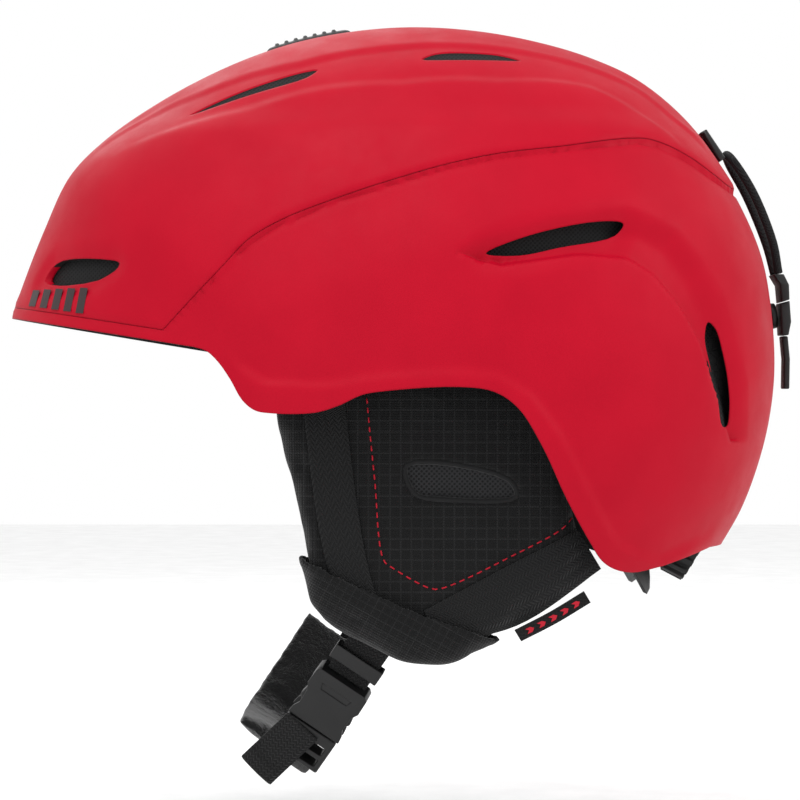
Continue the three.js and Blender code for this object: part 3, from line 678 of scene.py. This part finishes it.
def moulding(x, y, z):
    """How far the surface sinks below the plain form, in millimetres: recesses, seam, flare and roof."""
    wide = np.abs(x)
    within = np.sign(-outline_distance(y, z, SIDE_RECESS))
    panel_edge = within * line_distance(y, z, SIDE_RECESS[:9])
    outer_edge = within * line_distance(y, z, SIDE_RECESS[9:])
    depth = 4.0 * np.minimum(ramp(panel_edge, -0.8, 3.0), ramp(outer_edge, -1.0, 9.0)) * ramp(wide, 30, 50)
    vent = -outline_distance(y, z, SIDE_VENT)
    depth += 1.6 * ramp(vent, -9, 0) * ramp(wide, 50, 70)
    rear = np.hypot(y - 117, (z - 12) * 0.35)
    depth += 1.2 * ramp(-rear, -9, 0) * ramp(wide, 55, 66)
    under = np.interp(y, seam_y, seam_z) - z
    lower = ramp(under, -0.3, 0.3) * (1 - ramp(under, 2, 34)) * ramp(y, -92, -60)
    depth += 1.5 * lower
    depth += 0.7 * (1 - ramp(np.abs(under), 0, 2.2)) * ramp(y, -150, -140)
    rim_near = line_distance(y, z, RIM[1:-1])
    band_near = line_distance(y, z, FLARE)
    below_band = ramp(band_near - rim_near, -6, 3) * ramp(y, -66, -50) * (1 - ramp(z, 14, 20))
    depth -= 1.3 * below_band * ramp(wide, 30, 60)
    spine = np.interp(y, [-95, -74, -37, 0, 40, 90], [20, 31, 42, 41, 36, 28])
    roof = ramp(z, 96, 108)
    depth += 1.6 * ramp(wide, 11, spine) * roof
    wing = np.interp(y, [-110, -91, -54, 0, 36, 70], [40, 48.5, 60, 66, 62.5, 52])
    depth += 1.0 * ramp(wide, spine + 1, spine + 6) * (1 - ramp(wide, wing - 3, wing + 2)) * ramp(z, 88, 100)
    brim = -outline_distance(wide, z, BRIM_VENT) if np.ndim(wide) else 0
    depth += 1.5 * ramp(brim, -7, 0) * ramp(-y, 96, 104) * (z < 75)
    return depth


def closed_form(columns, rows, base, name):
    """The envelope as a closed surface of quads, with the mouldings, sunk by a base depth."""
    angles = 2 * math.pi * np.arange(columns) / columns
    rises = -math.pi / 2 + math.pi * np.arange(1, rows) / rows
    angle, rise = np.meshgrid(angles, rises)
    plain = envelope_point(angle, rise, 0.0)
    depth = base + moulding(*plain)
    made = envelope_point(angle, rise, depth)
    corners = np.stack([m.ravel() for m in made], 1)
    corners = np.vstack([corners, [-(HALF_WIDTH - base), *POLE], [HALF_WIDTH - base, *POLE]])
    grid = np.arange(columns * (rows - 1)).reshape(rows - 1, columns)
    onward = np.roll(grid, -1, 1)
    quads = np.stack([grid[:-1], onward[:-1], onward[1:], grid[1:]], -1).reshape(-1, 4)
    faces = [tuple(q) for q in quads.tolist()]
    first, last = len(corners) - 2, len(corners) - 1
    for i in range(columns):
        j = (i + 1) % columns
        faces.append((first, j, i))
        faces.append((last, int(grid[-1, i]), int(grid[-1, j])))
    return make(name, corners, faces, None)


def seam_tool(shift):
    points = [(y, z + shift) for y, z in SEAM] + [(175, 175), (-175, 175)]
    smooth = curve_through(points[1:-2], 5, closed=False)
    return prism(np.vstack([points[:1], smooth, points[-2:]]), 0, -140, 140)


def rim_tool(rise=0.0):
    middle = curve_through(RIM[1:-2], 5, closed=False)
    outline = np.vstack([[RIM[0]], middle, [RIM[-2]], [RIM[-1]], [(175, 175), (-175, 175)]])
    return prism(outline + (0, rise), 0, -140, 140)


def vent_tools():
    def soft(outline):
        return curve_through(outline, 5)
    tools = [prism(soft(SIDE_VENT), 0, -140, 140), prism(soft(REAR_VENT), 0, -140, 140)]
    for sign in (1, -1):
        flip = np.array((sign, 1))
        tools.append(prism(soft(FRONT_SLIT) * flip, 2, 60, 160))
        tools.append(prism(soft(REAR_SLIT) * flip, 2, 60, 160))
        tools.append(prism(soft(BRIM_VENT) * flip, 1, -160, -70))
    return tools


SLIDER_CENTRE = (6.3, -37.2)
SLIDER_RADIUS = 178.0


def roof_drop(x):
    return 156 * (1 - (1 - np.abs(x / HALF_WIDTH) ** 2.3) ** (1 / 2.3))


def roof_skin(half, turns, low, high, name, look, columns=12, rows=24):
    """A curved plate turned about the slider's line. Heights may be functions of (u, v)."""
    def surface(height):
        def at(u, v):
            x = (u * 2 - 1) * half
            turn = np.radians(turns[0] + (turns[1] - turns[0]) * v)
            reach = SLIDER_RADIUS - roof_drop(x) + (height(u, v) if callable(height) else height)
            return x, SLIDER_CENTRE[0] + reach * np.sin(turn), SLIDER_CENTRE[1] + reach * np.cos(turn)
        return at
    return skin(columns, rows, surface(high), surface(low), name, look)


columns, rows = ((560, 280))
shell = closed_form(columns, rows, 0.0, "shell")
boolean(shell, closed_form(columns // 2, rows // 2, 2.3, "inside"))
boolean(shell, rim_tool(), "INTERSECT")
for tool in vent_tools():
    boolean(shell, tool)
boolean(shell, roof_skin(11.5, (-19.6, -3), -6, 8, "slot", None))
crown = copy_of(shell, "crown_shell_skin")
boolean(crown, seam_tool(0.06), "INTERSECT")
lower = shell
lower.name = "lower_shell_skin"
boolean(lower, seam_tool(-0.06))
for piece, node in ((crown, "crown_shell"), (lower, "lower_shell")):
    piece.data.materials.clear()
    piece.data.materials.append(RED)
    piece.data.materials.append(DARK)
    from_pole = values(piece.data.polygons, "center") - (0, POLE[0] * MM, POLE[1] * MM)
    outward = from_pole * values(piece.data.polygons, "normal")
    piece.data.polygons.foreach_set("material_index", (outward.sum(1) < -0.02).astype(int))
    piece.data.shade_smooth()
    piece.data.set_sharp_from_angle(angle=math.radians(42))
    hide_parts(node)
    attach(piece, "helmet")


def dressed(obj, body, slot, *nodes):
    """A finished piece: it rides on a body and stands for its CAD nodes. The slot argument is not used."""
    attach(obj, body)
    if nodes:
        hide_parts(*nodes)
    return obj


# Dark mesh behind the vents, in the gap between the shell and the foam.
def vent_backing(name, outline, axis, sign):
    soft = curve_through(outline, 5)
    centre = soft.mean(0)
    wide = centre + (soft - centre) * (1 + 1.6 / np.linalg.norm(soft - centre, axis=1, keepdims=True))
    low, high = wide.min(0) - 1, wide.max(0) + 1

    def at(depth):
        def surface(u, v):
            a = low[0] + (high[0] - low[0]) * u
            b = low[1] + (high[1] - low[1]) * v
            if axis == 0:
                sunk = depth + moulding(envelope_x(a, b, 0), a, b)
                return sign * envelope_x(a, b, sunk), a, b
            if axis == 1:
                guess = np.full(a.shape, -120.0 if centre[1] > 40 else 112.0)
                for _ in range(40):
                    error = envelope_x(guess, b, depth) - a
                    guess = guess + np.clip(error * 0.35, -2, 2) * np.sign(guess)
                guess = guess - np.sign(guess) * moulding(a, guess, b) * 0.9
                return sign * a, guess, b
            guess = np.full(a.shape, 115.0)
            for _ in range(40):
                guess = guess + np.clip((envelope_x(b, guess, depth) - a) * 0.4, -2, 2)
            return sign * a, b, guess
        return surface
    obj = skin(14, 14, at(3.0), at(3.9), name, MESH)
    low_cut, high_cut = ((-140, 140), (-160, 160), (60, 160))[axis]
    shape = wide * (np.array((sign, 1)) if axis else 1)
    return boolean(obj, prism(shape, axis, low_cut, high_cut), "INTERSECT")


for side, sign in (("left", 1), ("right", -1)):
    for label, outline, axis in (("side_vent", SIDE_VENT, 0), ("rear_vent", REAR_VENT, 0),
                                 ("brim_vent", BRIM_VENT, 1), ("front_slit", FRONT_SLIT, 2),
                                 ("rear_slit", REAR_SLIT, 2)):
        dressed(vent_backing(f"{label}_mesh_{side}", outline, axis, sign), "helmet", "mesh")

# Printed marks on the brim: five plain slanted bars in place of any lettering.
corners, faces = [], []
for i in range(5):
    y0 = -137.0 + 5.0 * i
    foot = float(np.interp(y0, seam_y, seam_z)) + 1.3
    bar = [(y0, foot), (y0 + 3.0, foot - 0.3), (y0 + 4.6, 40.3), (y0 + 1.6, 40.6)]
    for sign in (1, -1):
        base = len(corners)
        for depth in (-0.12, 0.2):
            for y, z in bar:
                x = float(envelope_x(np.array(y), np.array(z), depth))
                corners.append((sign * x, y, z))
        for face in ((0, 1, 2, 3), (7, 6, 5, 4), (0, 4, 5, 1), (1, 5, 6, 2), (2, 6, 7, 3), (3, 7, 4, 0)):
            faces.append(tuple(base + k for k in (face if sign > 0 else face[::-1])))
marks = make("brim_marks", corners, faces, MARK, smooth=False)
dressed(marks, "helmet", "shell_red")

# Roof slider: a shallow domed button with seven ribs.
def knob_top(u, v):
    edge = np.minimum(np.minimum(u, 1 - u) * 21, np.minimum(v, 1 - v) * 33)
    dome = 2.1 * (1 - np.exp(-edge / 1.2)) - 0.7
    ribs = 0.75 * np.clip(np.sin((v - 0.12) * 2 * math.pi * 7 / 0.76) * 1.6, 0, 1)
    return dome + ribs * (v > 0.12) * (v < 0.88) * ramp(edge, 1.5, 3.5)


knob = roof_skin(10.5, (-18.7, -7.9), -6.5, knob_top, "slider_button", BLACK, 40, 120)
dressed(knob, "vent_slider", "vent_plastic", "vent_slider_knob")


# ---------------------------------------------------------------- ear pieces
EAR_FACE = 86.5
EAR_BACK = 73.0
EAR_LEAN = (Matrix.Translation((EAR_FACE * MM, 0, 0.014)) @ Matrix.Rotation(math.radians(4.5), 4, "Y")
            @ Matrix.Translation((-EAR_FACE * MM, 0, -0.014)))
EAR_OUTLINE = [
    (-45.7, -5.3), (-43, 10), (-36, 13.5), (44, 13.5), (53, 8), (61, -20), (67, -48), (72.5, -62),
    (41.2, -83.4), (29.3, -90.3), (15.5, -95.5), (5.6, -95.2), (-2.3, -92.7), (-21, -82.9),
    (-29.9, -75.8), (-32.4, -72), (-37.3, -54), (-37.8, -49.8),
]
EAR_VENT = [(2.2, -23.1), (5.2, -33.4), (15.5, -35.4), (41.2, -34.4), (38.2, -28)]
CUFF_TOP = [(-46, -47), (-37.3, -53.1), (-24.9, -61), (-9.1, -68.4), (7.6, -75.8), (28.3, -82.7),
            (34.3, -83.7), (41.2, -82.3), (50, -80)]
SEWN_LINE = [(-12.5, 12), (-11.6, -0.8), (-9, -28), (-5.7, -57.1), (-2.2, -60), (10.6, -67), (14.5, -67.1),
             (46.1, -52.2), (56.9, -46.2), (63, -40.5)]
FRONT_BAND = [
    [(-34.8, 10), (-33.8, -5.8), (-24.9, -62), (-13, -84)],
    [(-20, 10), (-19, -5.8), (-9.1, -67.5), (2, -88)],
]
REAR_BAND = [(8.6, -74.8), (35, -60.6), (62.9, -46.2)], [(13, -86), (41.2, -81), (71.5, -60.5)]

pad = prism(curve_through(EAR_OUTLINE, 3), 0, EAR_BACK + 1.2, EAR_FACE - 1.2)
pad.name = "ear_pad_left_soft"
inflate(pad, 3.2, 3.0, pressure=4.0, shrink=0.9, subdivide=2)
spots = values(pad.data.vertices, "co") / MM
outer = ramp(spots[:, 0], 80, 84)
seam_gap = line_distance(spots[:, 1], spots[:, 2], SEWN_LINE)
vent_gap = outline_distance(spots[:, 1], spots[:, 2], curve_through(EAR_VENT, 5))
spots[:, 0] -= outer * (0.9 * np.exp(-(seam_gap / 1.6) ** 2) + 2.2 * (1 - ramp(vent_gap, -1.2, 2.2)))
creases = np.sin(spots[:, 1] * 0.21 + 2 * np.sin(spots[:, 2] * 0.11)) * np.sin(spots[:, 2] * 0.17 + 1.3)
spots[:, 0] += outer * 0.35 * creases
limit = np.where(outer > 0.5, EAR_FACE + 0.9, 200)
spots[:, 0] = np.minimum(spots[:, 0], limit)
pad.data.vertices.foreach_set("co", (spots * MM).ravel())
pad.data.materials.clear()
pad.data.materials.append(EAR_CLOTH)
pad.data.materials.append(EAR_MESH)
middles = values(pad.data.polygons, "center") / MM
gap = outline_distance(middles[:, 1], middles[:, 2], curve_through(EAR_VENT, 5))
pad.data.polygons.foreach_set("material_index", ((middles[:, 0] > 80) & (gap < -0.2)).astype(int))
pad.data.update()
pad_surface = surface_of(pad)


def on_pad(y, z, lift):
    """Places on the pad's outer face, lifted off it."""
    made = []
    for a, b in zip(np.ravel(y), np.ravel(z)):
        hit = pad_surface.ray_cast(Vector((0.12, a * MM, b * MM)), Vector((-1, 0, 0)))[0]
        made.append((hit.x / MM if hit is not None and hit.x > 0.078 else EAR_FACE - 4))
    return np.array(made) + lift, np.ravel(y), np.ravel(z)


def laid_band(name, edges, lift, thick, look, columns, rows):
    first, second = (curve_through(edge, 8, closed=False) for edge in edges)
    pace = np.linspace(0, 1, len(first))

    def yz(u, v):
        one = [np.interp(v, pace, first[:, k]) for k in (0, 1)]
        two = [np.interp(v, pace, second[:, k]) for k in (0, 1)]
        return [one[k] + (two[k] - one[k]) * u for k in (0, 1)]

    def surface(height):
        def at(u, v):
            y, z = yz(u, v)
            x, y, z = on_pad(y, z, 0)
            grid = x.reshape(rows + 1, columns + 1)
            for _ in range(6):
                padded = np.pad(grid, 1, mode="edge")
                beside = padded[:-2, 1:-1] + padded[2:, 1:-1] + padded[1:-1, :-2] + padded[1:-1, 2:]
                grid = np.maximum(grid, beside / 4)
            edge = np.minimum(u, 1 - u) * 15
            round_off = 0.35 * (1 - ramp(edge, 0, 0.9)) * (1 if height > lift else -1)
            return grid.ravel() + height - round_off, y, z
        return at
    length = np.linalg.norm(np.diff(first, axis=0), axis=1).sum()
    return skin(columns, rows, surface(lift + thick), surface(lift), name, look, (15, length))


front_band = laid_band("ear_band_front_left", FRONT_BAND, 0.25, 1.1, BAND, 16, 70)
rear_band = laid_band("ear_band_rear_left", REAR_BAND, 0.25, 1.1, BAND, 16, 60)

# The cuff is a folded hem: the foot of the pad's own surface, moved out and thickened, open at the top.
cuff = copy_of(pad, "ear_cuff_left_fold")
cuff.data.materials.clear()
cuff.data.materials.append(CUFF_CLOTH)
work = bmesh.new()
work.from_mesh(cuff.data)
cuff_y, cuff_z = np.array(CUFF_TOP).T
above = [f for f in work.faces
         if f.calc_center_median().z / MM > np.interp(f.calc_center_median().y / MM, cuff_y, cuff_z)
         or f.calc_center_median().y / MM > 49]
bmesh.ops.delete(work, geom=above, context="FACES")
for _ in range(6):
    edge_corners = [v for v in work.verts if v.is_boundary]
    bmesh.ops.smooth_vert(work, verts=edge_corners, factor=0.5,
                          use_axis_x=True, use_axis_y=True, use_axis_z=True)
work.normal_update()
for corner in work.verts:
    spot = corner.co / MM
    drop = np.interp(spot.y, cuff_y, cuff_z) - spot.z
    fold = 0.5 * math.exp(-((drop - 1.2) / 1.4) ** 2)
    wave = 0.35 * math.sin(spot.y * 0.35 + spot.z * 0.12) * min(1, max(0, drop / 8))
    corner.co += corner.normal * (1.75 + fold + wave * 0.6) * MM
work.to_mesh(cuff.data)
work.free()
thick = cuff.modifiers.new("thick", "SOLIDIFY")
thick.thickness = 1.2 * MM
thick.offset = 1
settle(cuff)
cuff.data.shade_smooth()
cuff_surface = surface_of(cuff)


def stitches(name, line, length, pitch, radius, look, tree):
    """Short raised threads along a line on the side view."""
    path = curve_through(line, 12, closed=False)
    steps = np.concatenate([[0], np.cumsum(np.linalg.norm(np.diff(path, axis=0), axis=1))])
    corners, faces = [], []
    for start in np.arange(1, steps[-1] - length, pitch):
        beads = []
        for t, dip in ((0, -0.5), (0.12, 0.05), (0.5, 0.18), (0.88, 0.05), (1, -0.5)):
            y = np.interp(start + t * length, steps, path[:, 0])
            z = np.interp(start + t * length, steps, path[:, 1])
            hit = tree.ray_cast(Vector((0.12, y * MM, z * MM)), Vector((-1, 0, 0)))[0]
            if hit is None or hit.x < 0.076:
                beads = []
                break
            beads.append((hit.x / MM + dip, y, z))
        if not beads:
            continue
        beads = np.array(beads)
        base = len(corners)
        along = beads[-1] - beads[0]
        along /= np.linalg.norm(along)
        side = np.cross(along, (1, 0, 0))
        for i, bead in enumerate(beads):
            size = radius * (0.5 if i in (0, 4) else 1)
            for k in range(6):
                turn = k * math.pi / 3
                corners.append(bead + size * (side * math.cos(turn) + np.array((1, 0, 0)) * math.sin(turn)))
        for i in range(4):
            for k in range(6):
                n = (k + 1) % 6
                faces.append((base + i * 6 + k, base + i * 6 + n, base + i * 6 + 6 + n, base + i * 6 + 6 + k))
        faces.append(tuple(base + k for k in range(5, -1, -1)))
        faces.append(tuple(base + 24 + k for k in range(6)))
    return make(name, corners, faces, look)


red_line = stitches("ear_stitching_left", SEWN_LINE, 2.3, 3.4, 0.28, RED_THREAD, pad_surface)
piping_path = curve_through(EAR_VENT, 6)
px, py, pz = on_pad(piping_path[:, 0], piping_path[:, 1], 0.1)
px = np.maximum(px, np.median(px))
piping = ring_tube(np.stack([px, py, pz], 1), 1.0, BAND_EDGE, "ear_vent_piping_left", 8, closed=True)

# Cuff tag: a narrow folded label with plain red chevrons.
tag_line = curve_through([(40.6, -84.1), (53.1, -77.6), (65.2, -70.2)], 8, closed=False)


def tag_surface(height):
    def at(u, v):
        y = np.interp(u, np.linspace(0, 1, len(tag_line)), tag_line[:, 0]) + v * 1.2 * 2
        z = np.interp(u, np.linspace(0, 1, len(tag_line)), tag_line[:, 1]) - v * 4.0 + 2.2
        return tag_reach + height + 0 * u, y, z
    return at


tag_hits = [(tree.ray_cast(Vector((0.12, y * MM, z * MM)), Vector((-1, 0, 0)))[0], lift)
            for tree, lift in ((cuff_surface, 0.15), (pad_surface, 1.6)) for y, z in tag_line + (0, 7)]
tag_reach = max([hit.x / MM + lift for hit, lift in tag_hits if hit is not None], default=EAR_FACE + 2)


tag = skin(20, 6, tag_surface(1.0), tag_surface(0.0), "cuff_tag_left_cloth", LABEL)
corners, faces = [], []
for i in range(5):
    u0 = 0.12 + 0.165 * i
    shape = [(u0, 0.3), (u0 + 0.07, 0.3), (u0 + 0.11, 0.5), (u0 + 0.07, 0.72), (u0, 0.72), (u0 + 0.04, 0.5)]
    base = len(corners)
    for height in (0.85, 1.18):
        for u, v in shape:
            corners.append([float(c) for c in tag_surface(height)(np.array(u), np.array(v))])
    faces += [tuple(base + k for k in range(5, -1, -1)), tuple(base + 6 + k for k in range(6))]
    faces += [(base + k, base + (k + 1) % 6, base + 6 + (k + 1) % 6, base + 6 + k) for k in range(6)]
tag_marks = make("cuff_tag_marks", corners, faces, RED_THREAD, smooth=False)

ear_pieces = [
    (pad, "ear_pad", "ear_fabric", ("ear_pad", "ear_vent_mesh")),
    (front_band, "ear_band_front", "webbing", ("front_strap",)),
    (rear_band, "ear_band_rear", "webbing", ("rear_strap",)),
    (cuff, "ear_cuff", "cuff_fabric", ("ear_cuff",)),
    (red_line, "ear_stitching", "webbing", ()),
    (piping, "ear_vent_piping", "ear_fabric", ()),
]
for obj, label, slot_name, nodes in ear_pieces:
    place(obj, EAR_LEAN)
    twin = mirrored(obj, f"{label}_right_soft")
    for piece, side in ((obj, "left"), (twin, "right")):
        dressed(piece, "helmet", slot_name, *(f"{node}_{side}" for node in nodes))
for obj in (tag, tag_marks):
    place(obj, EAR_LEAN)
dressed(tag, "helmet", "tag", "cuff_tag_left")
dressed(tag_marks, "helmet", "tag")


# ---------------------------------------------------------------- chin strap and buckle
body_of = {node: body for body, nodes in frame["record"]["behaviour"]["bodies"].items() for node in nodes}
slot_of = {part["node"]: part["material_slot"] for part in frame["record"]["subparts"]}


def refined(node, look, width, name=None):
    """A CAD part with its edges rounded, under its own look."""
    piece = copy_of(frame["nodes"][node], name or f"{node}_formed")
    work = bmesh.new()
    work.from_mesh(piece.data)
    bmesh.ops.remove_doubles(work, verts=work.verts, dist=2e-6)
    if width:
        bmesh.ops.dissolve_limit(work, angle_limit=math.radians(1), verts=work.verts, edges=work.edges)
    work.to_mesh(piece.data)
    work.free()
    piece.data.materials.clear()
    piece.data.materials.append(look)
    for polygon in piece.data.polygons:
        polygon.material_index = 0
    if width:
        soften(piece, width)
    return dressed(piece, body_of[node], slot_of[node], node)


LEG_SPLAY = math.radians(22.8)
CHIN = Matrix.Translation((0, -0.0052, -0.08)) @ Matrix.Rotation(math.radians(-33.85), 4, "X")
BUCKLE = CHIN @ Matrix.Translation((0.061, 0, 0)) @ Matrix.Rotation(LEG_SPLAY, 4, "Y")


def on_leg(length):
    return 61 - length * math.sin(LEG_SPLAY), -length * math.cos(LEG_SPLAY)


def strap(line, width, thick, name, look=WEB, ripple=0.0):
    """Webbing along an (x, z) line in the chin frame, its width along Y."""
    line = curve_through(line, 12, closed=False)
    steps = np.concatenate([[0], np.cumsum(np.linalg.norm(np.diff(line, axis=0), axis=1))])
    along = np.gradient(line, axis=0)
    along /= np.linalg.norm(along, axis=1, keepdims=True)

    def surface(side):
        def at(u, v):
            place_on = v * steps[-1]
            x, z = (np.interp(place_on, steps, line[:, k]) for k in (0, 1))
            tx, tz = (np.interp(place_on, steps, along[:, k]) for k in (0, 1))
            edge = np.minimum(u, 1 - u) * width
            half = thick / 2 * (0.45 + 0.55 * ramp(edge, 0, 1.1))
            out = side * half + ripple * np.sin(place_on * 0.3) * (u - 0.5)
            return x - tz * out, (u - 0.5) * width, z + tx * out
        return at
    return skin(18, max(12, int(steps[-1] / 1.2)), surface(1), surface(-1), name, look, (width, steps[-1]))


leg_strap = strap([on_leg(-2), on_leg(6), on_leg(14), on_leg(27.6)], 16, 1.5, "chin_strap_leg")
place(leg_strap, CHIN)
dressed(leg_strap, "chin_leg", "webbing", "chin_strap_left")
ACROSS = [on_leg(66.6), (27, -64.2), (14, -66.6), (0, -67), (-14, -66.6), (-27, -64.2), (-36, -58),
          (-46, -36), (-55, -14), (-62.5, 4)]
sling = strap(ACROSS, 16, 1.5, "chin_strap_sling")
place(sling, CHIN)
dressed(sling, "chin_sling", "webbing", "chin_strap_right")


def box_prism(low, high):
    flat = [(low[1], low[2]), (high[1], low[2]), (high[1], high[2]), (low[1], high[2])]
    return prism(flat, 0, low[0], high[0])


half_outline = [(9.4, -28), (10.8, -29.4), (11, -35.6), (9.6, -38.4), (9.4, -44.4), (10.6, -47), (11, -50)]
female = prism(half_outline + [(-y, z) for y, z in half_outline[::-1]], 0, -4.5, 4.5)
female.name = "buckle_socket"
boolean(female, box_prism((-3.1, -14, -52), (3.1, 14, -34)))
boolean(female, box_prism((-3.3, -1.6, -48), (3.3, 1.6, -33)), "UNION")
for edge in (4.5, -4.5):
    groove = [(-6.4, -32.6), (6.4, -32.6), (5.6, -35.2), (-5.6, -35.2)]
    boolean(female, prism(groove, 0, edge - 0.6, edge + 0.6))
female.data.materials.clear()
female.data.materials.append(BLACK)
soften(female, 0.55, 3)
place(female, BUCKLE)
dressed(female, "chin_leg", "buckle_plastic", "buckle_female")
for node, width in (("buckle_male", 0.7), ("buckle_prong_rear", 0.6), ("buckle_prong_front", 0.6),
                    ("strap_keeper", 0.5), ("strap_junction_left", 0.4), ("strap_junction_right", 0.4)):
    refined(node, BLACK, width)


def tail_surface(height):
    def at(u, v):
        edge = np.minimum(u, 1 - u) * 15
        fold = 0.75 * ramp(v, 0.74, 0.8)
        half = (0.7 + fold * 0.5) * (0.45 + 0.55 * ramp(edge, 0, 1.1))
        return height * half + 0.9 * v * v * np.sin(u * 2.6), (u - 0.5) * 15, -26 * v
    return at


tail = skin(18, 30, tail_surface(1), tail_surface(-1), "strap_tail_end", WEB, (15, 26))
place(tail, BUCKLE @ Matrix.Translation((0.0048, -0.0034, -0.052)) @ Matrix.Rotation(-0.19, 4, "X"))
dressed(tail, "chin_sling", "webbing", "strap_tail")


# ---------------------------------------------------------------- linings and pads
def cushion(node, look, voxel, cap, shrink=0.7, name=None):
    """A padded piece: the CAD solid's form, filled with air."""
    piece = copy_of(frame["nodes"][node], name or f"{node}_soft")
    piece.data.materials.clear()
    piece.data.materials.append(look)
    inflate(piece, voxel, cap, pressure=3.5, shrink=shrink, subdivide=1)
    piece.data.materials.clear()
    piece.data.materials.append(look)
    dressed(piece, body_of[node], slot_of[node], node)
    return piece


for node in ("brow_pad", "crown_pad", "temple_pad_left", "temple_pad_right", "nape_pad"):
    cushion(node, LINING, 2.4, 1.6)
cushion("cradle_pad", LINING, 1.8, 1.0, 0.4)
cushion("chin_pad", FLEECE, 2.0, 1.6, 0.5)


# ---------------------------------------------------------------- goggle retainer
RETAINER = np.array((0, 118.4, 95.5))
CORD_RADIUS = 1.6
cord_points = [(-7, 24.6, -47.4), (-10.8, 22, -36), (-11.6, 14.6, -17.6), (-8.4, 7.6, -5.6), (0, 5.6, -2.4)]
cord_points += [(-x, y, z) for x, y, z in cord_points[3::-1]]
cord_line = curve_through(np.array(cord_points) + RETAINER, 6, closed=False)
cord = ring_tube(cord_line, CORD_RADIUS, BRAID, "goggle_cord_loop", 14)
dressed(cord, "goggle_retainer", "cord", "goggle_cord")
fittings = [refined(node, RUBBER, width) for node, width in (("goggle_hook", 0.8), ("goggle_clip", 0.9),
                                                              ("goggle_pull_tab", 0.5))]
refined("goggle_anchor", BLACK, 0.9)
refined("goggle_stud", BLACK, 0.5)


# ---------------------------------------------------------------- fit system, foam and inner parts
for node, look, width in (("cradle_yoke", BLACK, 0), ("dial_housing", BLACK, 1.0), ("dial_knob", RUBBER, 0.5),
                          ("fit_belt_left", BLACK, 0), ("fit_belt_right", BLACK, 0),
                          ("belt_guide_left", BLACK, 0.4), ("belt_guide_right", BLACK, 0.4),
                          ("cradle_hanger", BLACK, 0.3), ("dial_pinion", BLACK, 0.15),
                          ("dial_screw", STEEL, 0.15), ("foam_liner", FOAM, 0.6),
                          ("vent_shutter", DARK, 0.3)):
    refined(node, look, width)


# ---------------------------------------------------------------- floor
floor_look = moulded("studio_floor", (0.86, 0.86, 0.86), 0.8, 0.0001)
low = cad_box[0][2] * 1000 - 24
floor = make("floor", [(-3000, -3000, low), (3000, -3000, low), (3000, 3000, low), (-3000, 3000, low)],
             [(0, 1, 2, 3)], floor_look)
